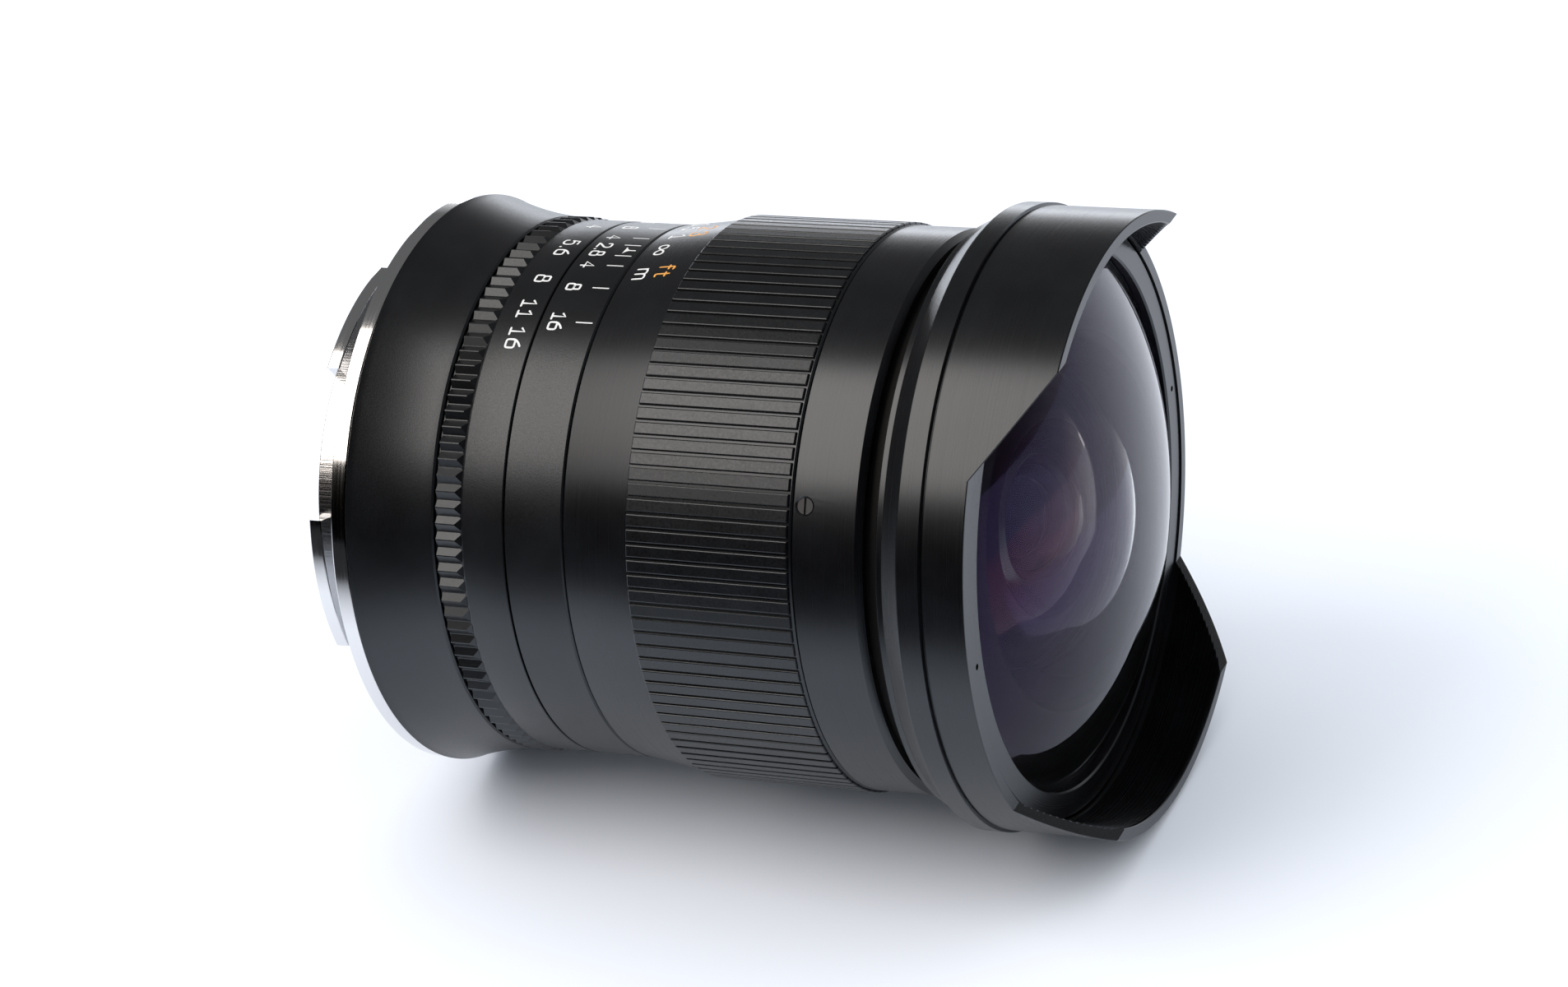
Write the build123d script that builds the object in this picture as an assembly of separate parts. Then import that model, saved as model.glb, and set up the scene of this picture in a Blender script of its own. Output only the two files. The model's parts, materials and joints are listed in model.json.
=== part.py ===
from build123d import *
import math
import os

# A manual fisheye lens with a bayonet mount and a two-petal hood.
# Lengths are millimetres and angles are degrees.
# Each piece is built with the optical axis upright: radii are counted from that axis,
# places are counted forward from the seat of the camera's flange, and angles from
# the index line at the top towards the left-hand side. to_frame() then lays it down.

# Clearances and small allowances
RUNNING_GAP = 0.05
SIDE_GAP = 0.06
SEAT_GAP = 0.02
EDGE_BREAK = 0.2
OVERRUN = 1.0

# Barrel lengths, from the camera's flange seat forward
MOUNT_THICK = 1.8
REAR_BARREL_LENGTH = 10.04
APERTURE_RING_LENGTH = 8.54
SCALE_RING_LENGTH = 7.25
FOCUS_CONE_LENGTH = 8.43
FOCUS_GRIP_LENGTH = 19.59
FRONT_BARREL_LENGTH = 7.35
FRONT_BARREL_BEVEL = 0.66
NECK_LENGTH = 2.3

# Outer radii, each counted from its neighbour, so that the barrel keeps together
BARREL_RADIUS = 31.26
REAR_BARREL_FLARE = 2.14
REAR_BARREL_HOLLOW = 0.35
MOUNT_STEP = 0.1
APERTURE_BAND_STEP = 0.29
SCALE_RING_STEP = 0.05
FOCUS_CONE_RISE = 1.08
FOCUS_GRIP_STEP = 0.4
FRONT_BARREL_STEP = 0.34
FRONT_BARREL_WALL = 1.66
HOOD_RISE = 4.6
REAR_BARREL_FRONT_RADIUS = BARREL_RADIUS
REAR_BARREL_REAR_RADIUS = REAR_BARREL_FRONT_RADIUS + REAR_BARREL_FLARE
MOUNT_RADIUS = REAR_BARREL_REAR_RADIUS - MOUNT_STEP
APERTURE_GRIP_RADIUS = REAR_BARREL_FRONT_RADIUS
APERTURE_BAND_RADIUS = APERTURE_GRIP_RADIUS - APERTURE_BAND_STEP
SCALE_RING_RADIUS = APERTURE_BAND_RADIUS - SCALE_RING_STEP
FOCUS_CONE_RADIUS = SCALE_RING_RADIUS + FOCUS_CONE_RISE
FOCUS_GRIP_RADIUS = FOCUS_CONE_RADIUS + FOCUS_GRIP_STEP
FRONT_BARREL_RADIUS = FOCUS_GRIP_RADIUS - FRONT_BARREL_STEP
NECK_RADIUS = FRONT_BARREL_RADIUS - FRONT_BARREL_WALL
HOOD_RADIUS = NECK_RADIUS + HOOD_RISE

# Sliding sleeve, fixed tube and cam ring, one inside the next
SLEEVE_RADIUS = 24.0
SLEEVE_WALL = 2.5
TUBE_WALL = 1.95
CAM_WALL = 1.95

# Bayonet behind the flange
THROAT_RADIUS = 22.5
BAYONET_WALL = 2.9
BAYONET_LENGTH = 6.2
PILOT_RADIUS = 27.4
PILOT_LENGTH = 1.3
LUG_RADIUS = 27.6
LUG_THICK = 1.6
LUG_SPANS = ((2.0, 36.0), (73.0, 108.0), (194.0, 232.0))
MOUNT_LIP_RADIUS = 20.0
MOUNT_LIP_THICK = 1.4
BAFFLE_THICK = 0.8
BAFFLE_OPENING_WIDTH = 27.0
BAFFLE_OPENING_HEIGHT = 19.0
BAFFLE_OPENING_CORNER = 3.0

# Flanges and webs that join the fixed pieces
TUBE_FLANGE_INSET = 3.4
TUBE_FLANGE_RADIUS = REAR_BARREL_REAR_RADIUS - TUBE_FLANGE_INSET
TUBE_FLANGE_THICK = 2.15
TUBE_COLLAR_RADIUS = 28.1
TUBE_COLLAR_THICK = 1.45
SCALE_WEB_THICK = 2.5
SCALE_WEB_SETBACK = 1.0
SCALE_RING_WALL = 2.72
SCALE_RING_BORE = SCALE_RING_RADIUS - SCALE_RING_WALL
FRONT_WEB_THICK = 2.7

# Aperture ring
APERTURE_GRIP_LENGTH = 3.44
APERTURE_TEETH = 108
APERTURE_TOOTH_DEPTH = 0.6
APERTURE_TOOTH_SHARE = 0.5
APERTURE_WEB_LENGTH = 5.6
APERTURE_BAND_WALL = 1.97
APERTURE_OPENING_TURN = 28.0
APERTURE_CLOSING_TURN = 29.2
COUPLING_PIN_RADIUS = 1.0
COUPLING_PIN_PLACE = 16.5
COUPLING_PIN_REACH = 16.5
COUPLING_PIN_HEAD = 29.5
COUPLING_PIN_ANGLE = 180.0
CLICK_BALL_RADIUS = 0.8
CLICK_CIRCLE_RADIUS = 28.0
CLICK_BALL_SETBACK = 0.25
CLICK_ANGLE = 270.0
CLICK_DIMPLE_RADIUS = 1.0
CLICK_TURNS = (-29.2, -21.5, -12.4, 0.0, 13.5, 28.0)
CLICK_SPRING_RADIUS = 0.5
CLICK_WIRE_RADIUS = 0.12
CLICK_SPRING_PITCH = 0.7
CLICK_SPRING_COILS = 5

# Focus ring and its cam
FOCUS_RIDGES = 120
FOCUS_RIDGE_DEPTH = 0.42
FOCUS_RIDGE_SHARE = 0.55
FOCUS_TURN = 79.0
FOCUS_LIFT_PER_RADIAN = 1.056
CAM_RING_PLACE = 33.0
CAM_FLANGE_INSET = 1.9
CAM_FLANGE_RADIUS = FOCUS_GRIP_RADIUS - CAM_FLANGE_INSET
CAM_FLANGE_THICK = 1.5
CAM_FLANGE_SETBACK = 1.83
FOLLOWER_RADIUS = 1.5
FOLLOWER_PLACE = 41.0
FOLLOWER_ANGLES = (60.0, 180.0, 300.0)
FOLLOWER_TIP_GAP = 0.15
STOP_PIN_RADIUS = 0.8
STOP_CIRCLE_RADIUS = 29.3
STOP_PIN_LENGTH = 7.8
STOP_PIN_REACH = 2.0
STOP_PIN_ANGLE = 180.0
STOP_GROOVE_DEPTH = 2.7

# Hood
HOOD_STEP = 0.3
HOOD_BEVEL_RISE = 2.0
HOOD_WALL = 1.4
HOOD_REAR_RADIUS = HOOD_RADIUS + HOOD_STEP
HOOD_NECK_RADIUS = HOOD_REAR_RADIUS - HOOD_BEVEL_RISE
HOOD_BORE = HOOD_RADIUS - HOOD_WALL
HOOD_BEVEL_LENGTH = 3.2
HOOD_SHOULDER_LENGTH = 2.6
HOOD_LINE_DEPTH = 0.2
HOOD_RIM_PLACE = 76.9
HOOD_TIP_PLACE = 84.75
HOOD_LIP_STEP = 0.6
HOOD_LIP_RADIUS = NECK_RADIUS + HOOD_LIP_STEP
HOOD_LIP_THICK = 2.8
PETAL_TIP_ANGLE = 34.0
PETAL_FOOT_ANGLE = 54.5
BAFFLE_TEETH = 14
BAFFLE_TOOTH_PITCH = 0.5
BAFFLE_TOOTH_DEPTH = 0.25
BAFFLE_TIP_SETBACK = 0.4

# Lens surfaces as (place of the vertex, radius of curvature); a positive radius falls back
# towards the camera away from the axis.
CEMENT_GAP = 0.01
SURFACE_1 = (83.8, 60.0)
SURFACE_2 = (80.8, 22.0)
SURFACE_3 = (72.5, 34.0)
SURFACE_4 = (70.7, 12.5)
SURFACE_5 = (60.5, -45.0)
SURFACE_6 = (59.0, 15.0)
SURFACE_7 = (51.5, -40.0)
SURFACE_8 = (48.0, 22.0)
SURFACE_9 = (42.0, -25.0)
SURFACE_10 = (40.5, 20.0)
SURFACE_11 = (34.5, -14.0)
SURFACE_12 = (33.0, 60.0)
SURFACE_13 = (23.8, -18.0)
SURFACE_14 = (22.4, 16.0)
SURFACE_15 = (17.4, -18.0)
SURFACE_16 = (16.4, 30.0)
SURFACE_17 = (11.5, -16.0)
SURFACE_18 = (10.0, -40.0)
EDGE_1_STEP = 2.4
EDGE_1 = HOOD_BORE - EDGE_1_STEP
CLEAR_2 = 19.0
EDGE_2 = 19.5
CLEAR_4 = 11.2
EDGE_3 = 11.5
EDGE_4 = 10.5
EDGE_5 = 9.5
EDGE_6 = 8.5
EDGE_8 = 7.5
EDGE_10 = 8.5

# Cells and the rings that hold the glass
GASKET_THICK = 0.38
GASKET_WIDTH = 2.0
CELL_FLANGE_GAP = 0.2
CELL_THREAD_DEPTH = 0.45
CELL_FLANGE_RADIUS = HOOD_BORE - CELL_FLANGE_GAP
CELL_THREAD_RADIUS = CELL_FLANGE_RADIUS - CELL_THREAD_DEPTH
CELL_THREAD_LENGTH = 2.2
CELL_BODY_PLACE = 60.6
CELL_CORE_RADIUS = 13.2
CELL_CORE_PLACE = 50.5
CELL_CORE_SEAT_RADIUS = 10.9
CELL_GASKET_SEAT_WIDTH = 2.4
CELL_GASKET_SEAT_RADIUS = EDGE_1 - CELL_GASKET_SEAT_WIDTH
CELL_POCKET_DEPTH = 2.1
FRONT_RING_LAP = 0.8
FRONT_RING_INNER = EDGE_1 - FRONT_RING_LAP
FRONT_RING_THICK = 1.15
FRONT_RING_SKIRT = 2.0
FRONT_RING_WALL = 0.45
FRONT_RING_HOLE_RADIUS = 0.35
FRONT_RING_HOLE_INSET = 1.0
FRONT_RING_HOLE_CIRCLE = EDGE_1 + FRONT_RING_HOLE_INSET
FRONT_RING_HOLE_DEPTH = 0.7
RING_LAP_2 = 0.6
RING_THICK_2 = 1.6
RING_WALL_2 = 2.05
RING_LAP_3 = 1.4
RING_THICK_3 = 1.4
RING_LAP_5 = 0.8
RING_THICK_5 = 1.4
RING_LAP_7 = 0.9
RING_THICK_7 = 1.2
RING_LAP_8 = 0.9
RING_THICK_8 = 0.9
RING_LAP_11 = 0.9
RING_THICK_11 = 1.3
SEAT_LAP_5 = 0.8
SEAT_LAP_6 = 0.9
SEAT_LAP_9 = 0.7
SEAT_LAP_10 = 0.9
MIDDLE_CELL_RADIUS = 12.0
MIDDLE_CELL_REAR = 31.0
MIDDLE_CELL_FRONT = 49.5
MIDDLE_FLANGE_PLACE = 45.0
MIDDLE_FLANGE_THICK = 2.0
REAR_CELL_RADIUS = 11.5
REAR_CELL_REAR = 9.0
REAR_CELL_FLANGE_RADIUS = 15.6
REAR_CELL_FLANGE_THICK = 1.8
REAR_CELL_STEP = 1.6
SLEEVE_FLANGE_RADIUS = 29.5
SLEEVE_FLANGE_THICK = 1.6
SLEEVE_LEDGE_RADIUS = 19.3
SLEEVE_LEDGE_THICK = 2.5
SLEEVE_LIP_THICK = 2.0

# Iris
BLADES = 7
BLADE_THICK = 0.1
BLADE_STEP = 0.15
BLADE_PIVOT_CIRCLE = 14.0
BLADE_INNER = 5.3
BLADE_OUTER = 8.4
BLADE_SPAN = 110.0
BLADE_END_OVERLAP = 5.0
BLADE_ARM_HALF_WIDTH = 0.9
BLADE_PIN_RADIUS = 0.35
BLADE_PIN_GAP = 0.03
BLADE_DRIVE_GAP = 0.06
BLADE_OPEN_TURN = 1.35
BLADE_CLOSED_TURN = 17.8
IRIS_PLATE_PLACE = 29.6
IRIS_PLATE_THICK = 1.0
IRIS_PLATE_OPENING = 5.2
IRIS_CUP_PLACE = 26.6
IRIS_CUP_BORE = 19.0
IRIS_COVER_THICK = 0.8
IRIS_COVER_OPENING = 7.7
DRIVE_RING_THICK = 1.75
DRIVE_RING_INNER = 9.0
DRIVE_TAB_INNER = 17.2
DRIVE_TAB_THICK = 1.5
DRIVE_TAB_SPAN = 16.0
DRIVE_TAB_REAR = 13.0
DRIVE_FORK_FRONT = 18.7
DRIVE_TAB_SIDE_SPAN = 1.0
DRIVE_PIN_SETBACK = 0.4
SLOT_POINTS = 13

# Screws: head radius, head length, shank radius, shank length
MOUNT_SCREW = (1.5, 1.1, 0.9, 6.0)
MOUNT_SCREW_CIRCLE = 28.6
MOUNT_SCREWS = 4
MOUNT_SCREW_SETBACK = 0.05
BAFFLE_SCREW = (0.9, 0.5, 0.5, 1.9)
BAFFLE_SCREW_CIRCLE = 21.3
SCALE_SCREW = (0.9, 0.6, 0.55, 3.2)
SCALE_SCREW_CIRCLE = 27.1
FRONT_SCREW = (0.9, 0.5, 0.6, 6.7)
FRONT_SCREW_DEPTH = 0.15
FRONT_SCREW_PLACE = 57.3
FRONT_SCREW_ANGLE = 60.8
FOCUS_SCREW = (1.0, 0.6, 0.6, 4.0)
FOCUS_SCREW_CIRCLE = 29.3
HOOD_SCREW = (0.8, 0.7, 0.5, 4.5)
HOOD_SCREW_INSET = 1.5
HOOD_SCREW_CIRCLE = HOOD_BORE - HOOD_SCREW_INSET
HOOD_SCREW_SETBACK = 0.1
CELL_SCREW = (1.2, 0.8, 0.7, 4.6)
CELL_SCREW_CIRCLE = 27.3
MIDDLE_SCREW = (0.8, 0.5, 0.45, 3.7)
MIDDLE_SCREW_CIRCLE = 20.4
IRIS_SCREW = (0.8, 0.5, 0.45, 5.8)
IRIS_SCREW_CIRCLE = 20.25
REAR_CELL_SCREW = (0.8, 0.6, 0.45, 2.5)
REAR_CELL_SCREW_CIRCLE = 14.2
TRIPLE = 3
SLOT_SHARE = 0.3

# Radii that follow
tube_inner = SLEEVE_RADIUS + RUNNING_GAP
tube_outer = tube_inner + TUBE_WALL
cam_inner = tube_outer + RUNNING_GAP
cam_outer = cam_inner + CAM_WALL
sleeve_inner = SLEEVE_RADIUS - SLEEVE_WALL
neck_bore = NECK_RADIUS + 2 * RUNNING_GAP
bayonet_outer = THROAT_RADIUS + BAYONET_WALL

# Places that follow
rear_barrel_front = MOUNT_THICK + REAR_BARREL_LENGTH
aperture_rear = rear_barrel_front + SIDE_GAP
aperture_front = aperture_rear + APERTURE_RING_LENGTH
scale_rear = aperture_front + SIDE_GAP
scale_front = scale_rear + SCALE_RING_LENGTH
scale_web_rear = scale_rear + SCALE_WEB_SETBACK
scale_web_front = scale_web_rear + SCALE_WEB_THICK
collar_rear = scale_web_front + SEAT_GAP
collar_front = collar_rear + TUBE_COLLAR_THICK
focus_rear = scale_front + SIDE_GAP
cone_front = focus_rear + FOCUS_CONE_LENGTH
grip_front = cone_front + FOCUS_GRIP_LENGTH
cam_front = grip_front - CAM_FLANGE_SETBACK
front_barrel_rear = grip_front + SIDE_GAP
front_web_front = front_barrel_rear + FRONT_WEB_THICK
front_barrel_edge = front_barrel_rear + FRONT_BARREL_LENGTH
front_barrel_front = front_barrel_edge + FRONT_BARREL_BEVEL
hood_rear = front_barrel_front + NECK_LENGTH
hood_lip_front = hood_rear + HOOD_LIP_THICK
hood_shoulder = hood_rear + HOOD_BEVEL_LENGTH
hood_line = hood_shoulder + HOOD_SHOULDER_LENGTH
tube_flange_front = MOUNT_THICK + SEAT_GAP + TUBE_FLANGE_THICK
drive_ring_rear = IRIS_CUP_PLACE + RUNNING_GAP
drive_ring_front = drive_ring_rear + DRIVE_RING_THICK
sleeve_lip_rear = IRIS_PLATE_PLACE + IRIS_PLATE_THICK + SEAT_GAP
sleeve_front = CELL_BODY_PLACE - SEAT_GAP
ledge_front = MIDDLE_FLANGE_PLACE - SEAT_GAP
iris_cover_rear = IRIS_CUP_PLACE - IRIS_COVER_THICK
focus_travel = FOCUS_LIFT_PER_RADIAN * math.radians(FOCUS_TURN)

# Aperture ring turns and the blades' turns keep one constant ratio.
aperture_turn = APERTURE_OPENING_TURN + APERTURE_CLOSING_TURN
blade_ratio = (BLADE_CLOSED_TURN - BLADE_OPEN_TURN) / aperture_turn
blade_rest_turn = BLADE_OPEN_TURN + APERTURE_OPENING_TURN * blade_ratio


def on_surface(surface, radius):
    """The place of a lens surface at a radius."""
    vertex, curve = surface
    sag = abs(curve) - math.sqrt(curve ** 2 - radius ** 2)
    return vertex - math.copysign(sag, curve)


def turned(*corners):
    """A solid of revolution from (radius, place) corners."""
    outline = Polyline(*[(radius, 0, place) for radius, place in corners], close=True)
    return revolve(make_face(outline), Axis.Z)


def tube(inner, outer, rear, front):
    """A plain ring."""
    return turned((inner, rear), (outer, rear), (outer, front), (inner, front))


def sector(inner, outer, rear, front, start, span):
    """A piece of a ring that starts at an angle from the top and spans another."""
    corners = [(inner, rear), (outer, rear), (outer, front), (inner, front)]
    outline = Polyline(*[(0, radius, place) for radius, place in corners], close=True)
    return Rot(0, 0, start) * revolve(make_face(outline), Axis.Z, span)


def at(radius, angle, place=0):
    """A place on a circle about the axis, with local Y pointing outward."""
    return Rot(0, 0, angle) * Pos(0, radius, place)


def shared(count, start=0.0):
    """Evenly spaced angles."""
    return [start + 360 * index / count for index in range(count)]


def radial_rod(radius, low, high, place, angle):
    """A round rod that points at the axis."""
    return at((low + high) / 2, angle, place) * Rot(90, 0, 0) * Cylinder(radius, high - low)


def screw(size, gap=0.0):
    """A slotted screw along the axis, head to the rear, shank forward from zero."""
    head_radius, head_length, shank_radius, shank_length = size
    head = Pos(0, 0, -head_length / 2) * Cylinder(head_radius + gap, head_length)
    shank = Pos(0, 0, shank_length / 2) * Cylinder(shank_radius + gap, shank_length + 2 * gap)
    body = head + shank
    if gap:
        return body
    slot = Box(2 * head_radius, head_radius * SLOT_SHARE, head_length)
    return body - Pos(0, 0, -head_length) * slot


def screw_set(size, circle, place, count, start=0.0, forward=True, gap=0.0):
    """Equal screws on a circle; forward ones have their heads to the rear."""
    turn = Rot(0, 0, 0) if forward else Rot(180, 0, 0)
    return [at(circle, angle, place) * turn * screw(size, gap) for angle in shared(count, start)]


def element(front, rear, edge, rear_clear=None, front_shift=0.0):
    """A lens from its two surfaces; outside rear_clear its rear face is flat."""
    vertex, curve = front
    front = (vertex - front_shift, curve)
    clear = rear_clear or edge
    front_edge = on_surface(front, edge)
    rear_edge = on_surface(rear, clear)
    front_arc = ThreePointArc(
        (0, 0, front[0]), (edge / 2, 0, on_surface(front, edge / 2)), (edge, 0, front_edge))
    rear_arc = ThreePointArc(
        (0, 0, rear[0]), (clear / 2, 0, on_surface(rear, clear / 2)), (clear, 0, rear_edge))
    rim = [Line((edge, 0, front_edge), (edge, 0, rear_edge))]
    if clear < edge:
        rim.append(Line((edge, 0, rear_edge), (clear, 0, rear_edge)))
    axis_line = Line((0, 0, rear[0]), (0, 0, front[0]))
    return revolve(make_face([front_arc, *rim, rear_arc, axis_line]), Axis.Z)


def ribbed_ring(bore, outer, depth, count, share, rear, front):
    """A ring with straight ridges along its outside."""
    pitch = 360 / count
    corners = []
    for index in range(count):
        for turn, radius in ((0, outer), (share, outer), (share, outer - depth), (1, outer - depth)):
            angle = math.radians(pitch * (index + turn - share / 2) + 90)
            corners.append((radius * math.cos(angle), radius * math.sin(angle)))
    face = make_face(Polyline(*corners, close=True)) - Circle(bore)
    return Pos(0, 0, rear) * extrude(face, front - rear)


def mount_flange():
    """Chromed bayonet: flange, pilot, tube with three lugs and an inner lip."""
    lip_rear = MOUNT_THICK - MOUNT_LIP_THICK
    body = turned(
        (THROAT_RADIUS, -BAYONET_LENGTH), (bayonet_outer, -BAYONET_LENGTH),
        (bayonet_outer, -PILOT_LENGTH), (PILOT_RADIUS, -PILOT_LENGTH), (PILOT_RADIUS, 0),
        (MOUNT_RADIUS, 0), (MOUNT_RADIUS, MOUNT_THICK), (MOUNT_LIP_RADIUS, MOUNT_THICK),
        (MOUNT_LIP_RADIUS, lip_rear), (THROAT_RADIUS, lip_rear))
    for start, end in LUG_SPANS:
        body += sector(bayonet_outer - EDGE_BREAK, LUG_RADIUS, -BAYONET_LENGTH,
                       LUG_THICK - BAYONET_LENGTH, start, end - start)
    for space in mount_screw_set(SEAT_GAP) + baffle_screw_set(SEAT_GAP):
        body -= space
    return body


def mount_screw_set(gap=0.0):
    place = MOUNT_SCREW[1] + MOUNT_SCREW_SETBACK
    return screw_set(MOUNT_SCREW, MOUNT_SCREW_CIRCLE, place, MOUNT_SCREWS, 45.0, gap=gap)


def baffle_front():
    return MOUNT_THICK - MOUNT_LIP_THICK - SEAT_GAP


def baffle_screw_set(gap=0.0):
    place = baffle_front() - BAFFLE_THICK
    return screw_set(BAFFLE_SCREW, BAFFLE_SCREW_CIRCLE, place, TRIPLE, 30.0, gap=gap)


def rear_baffle():
    """Thin plate in the throat with a picture-shaped opening."""
    front = baffle_front()
    plate = tube(0, THROAT_RADIUS - SEAT_GAP, front - BAFFLE_THICK, front)
    opening = RectangleRounded(BAFFLE_OPENING_WIDTH, BAFFLE_OPENING_HEIGHT, BAFFLE_OPENING_CORNER)
    plate -= Pos(0, 0, front - BAFFLE_THICK - OVERRUN) * extrude(opening, BAFFLE_THICK + 2 * OVERRUN)
    for space in baffle_screw_set(SEAT_GAP):
        plate -= space
    return plate


def rear_barrel():
    """Flared ring between the mount and the aperture ring."""
    rear = MOUNT_THICK + SEAT_GAP
    middle_radius = (REAR_BARREL_REAR_RADIUS + REAR_BARREL_FRONT_RADIUS) / 2 - REAR_BARREL_HOLLOW
    flare = ThreePointArc(
        (REAR_BARREL_REAR_RADIUS, 0, rear),
        (middle_radius, 0, (rear + rear_barrel_front) / 2),
        (REAR_BARREL_FRONT_RADIUS, 0, rear_barrel_front))
    bore = tube_outer + SEAT_GAP
    step_radius = TUBE_FLANGE_RADIUS + SEAT_GAP
    step_place = tube_flange_front + SEAT_GAP
    inside = Polyline(
        (REAR_BARREL_FRONT_RADIUS, 0, rear_barrel_front), (bore, 0, rear_barrel_front),
        (bore, 0, step_place), (step_radius, 0, step_place), (step_radius, 0, rear),
        (REAR_BARREL_REAR_RADIUS, 0, rear))
    body = revolve(make_face([flare, inside]), Axis.Z)
    for space in mount_screw_set(SEAT_GAP):
        body -= space
    pocket_depth = CLICK_SPRING_PITCH * CLICK_SPRING_COILS + 2 * CLICK_BALL_RADIUS
    pocket = Cylinder(CLICK_BALL_RADIUS + RUNNING_GAP, 2 * pocket_depth)
    return body - at(CLICK_CIRCLE_RADIUS, CLICK_ANGLE, rear_barrel_front) * pocket


def main_tube():
    """Fixed tube that carries every other piece of the barrel."""
    rear = MOUNT_THICK + SEAT_GAP
    body = turned(
        (tube_inner, rear), (TUBE_FLANGE_RADIUS, rear), (TUBE_FLANGE_RADIUS, tube_flange_front),
        (tube_outer, tube_flange_front), (tube_outer, collar_rear),
        (TUBE_COLLAR_RADIUS, collar_rear), (TUBE_COLLAR_RADIUS, collar_front),
        (tube_outer, collar_front), (tube_outer, front_web_front), (tube_inner, front_web_front))
    low = COUPLING_PIN_PLACE - COUPLING_PIN_RADIUS - SIDE_GAP
    high = COUPLING_PIN_PLACE + COUPLING_PIN_RADIUS + SIDE_GAP
    side = math.degrees((COUPLING_PIN_RADIUS + SIDE_GAP) / tube_inner)
    start = COUPLING_PIN_ANGLE - APERTURE_CLOSING_TURN - side
    body -= sector(tube_inner - OVERRUN, tube_outer + OVERRUN, low, high, start,
                   aperture_turn + 2 * side)
    for angle in FOLLOWER_ANGLES:
        body -= follower_track(angle)
    for space in mount_screw_set(SEAT_GAP) + scale_screw_set(SEAT_GAP) + front_screw_set(SEAT_GAP):
        body -= space
    return body


def follower_track(angle):
    """Straight round-ended track that lets a follower move along the axis."""
    radius = FOLLOWER_RADIUS + RUNNING_GAP
    low = tube_inner - OVERRUN
    high = tube_outer + OVERRUN
    rear_end = radial_rod(radius, low, high, FOLLOWER_PLACE, angle)
    front_end = radial_rod(radius, low, high, FOLLOWER_PLACE + focus_travel, angle)
    middle = at((low + high) / 2, angle, FOLLOWER_PLACE + focus_travel / 2)
    return rear_end + front_end + middle * Box(2 * radius, high - low, focus_travel)


def scale_screw_set(gap=0.0):
    return screw_set(SCALE_SCREW, SCALE_SCREW_CIRCLE, collar_front, TRIPLE, 20.0, False, gap)


def dof_scale_ring():
    """Fixed ring that carries the depth-of-field scale."""
    edge = SCALE_RING_RADIUS - EDGE_BREAK
    body = turned(
        (SCALE_RING_BORE, scale_rear), (edge, scale_rear), (SCALE_RING_RADIUS, scale_rear + EDGE_BREAK),
        (SCALE_RING_RADIUS, scale_front - EDGE_BREAK), (edge, scale_front),
        (SCALE_RING_BORE, scale_front), (SCALE_RING_BORE, scale_web_front),
        (tube_outer + SEAT_GAP, scale_web_front), (tube_outer + SEAT_GAP, scale_web_rear),
        (SCALE_RING_BORE, scale_web_rear))
    for space in scale_screw_set(SEAT_GAP):
        body -= space
    return body - stop_pin(SEAT_GAP)


def stop_pin(gap=0.0):
    """Pin that ends the focus ring's turn."""
    front = focus_rear + STOP_PIN_REACH
    rod = Cylinder(STOP_PIN_RADIUS + gap, STOP_PIN_LENGTH + 2 * gap)
    return at(STOP_CIRCLE_RADIUS, STOP_PIN_ANGLE, front - STOP_PIN_LENGTH / 2) * rod


def front_screw_set(gap=0.0):
    """Radial set screws that hold the front barrel on the tube."""
    outside = FRONT_BARREL_RADIUS - FRONT_SCREW_DEPTH - FRONT_SCREW[1]
    inward = Pos(0, outside, FRONT_SCREW_PLACE) * Rot(90, 0, 0)
    return [Rot(0, 0, angle) * inward * screw(FRONT_SCREW, gap)
            for angle in shared(TRIPLE, FRONT_SCREW_ANGLE)]


def front_barrel():
    """Fixed ring in front of the focus ring."""
    body = turned(
        (tube_outer + SEAT_GAP, front_barrel_rear), (FRONT_BARREL_RADIUS, front_barrel_rear),
        (FRONT_BARREL_RADIUS, front_barrel_edge),
        (FRONT_BARREL_RADIUS - FRONT_BARREL_BEVEL, front_barrel_front),
        (neck_bore, front_barrel_front), (neck_bore, front_web_front),
        (tube_outer + SEAT_GAP, front_web_front))
    for space in front_screw_set(SEAT_GAP):
        body -= space
    mouth = FRONT_SCREW[0] + SEAT_GAP
    for angle in shared(TRIPLE, FRONT_SCREW_ANGLE):
        body -= radial_rod(mouth, FRONT_BARREL_RADIUS - FRONT_SCREW_DEPTH - EDGE_BREAK,
                           FRONT_BARREL_RADIUS + OVERRUN, FRONT_SCREW_PLACE, angle)
    return body


def ball_place():
    return rear_barrel_front + SIDE_GAP - CLICK_BALL_SETBACK


def click_ball():
    return at(CLICK_CIRCLE_RADIUS, CLICK_ANGLE, ball_place()) * Sphere(CLICK_BALL_RADIUS)


def click_spring():
    """Small compression spring behind the click ball."""
    height = CLICK_SPRING_PITCH * CLICK_SPRING_COILS
    path = Helix(CLICK_SPRING_PITCH, height, CLICK_SPRING_RADIUS)
    wire = Plane(path @ 0, z_dir=path % 0) * Circle(CLICK_WIRE_RADIUS)
    coil = sweep(wire, path=path, is_frenet=True)
    rear = ball_place() - CLICK_BALL_RADIUS - height - CLICK_WIRE_RADIUS - SEAT_GAP
    return at(CLICK_CIRCLE_RADIUS, CLICK_ANGLE, rear) * coil


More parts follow.
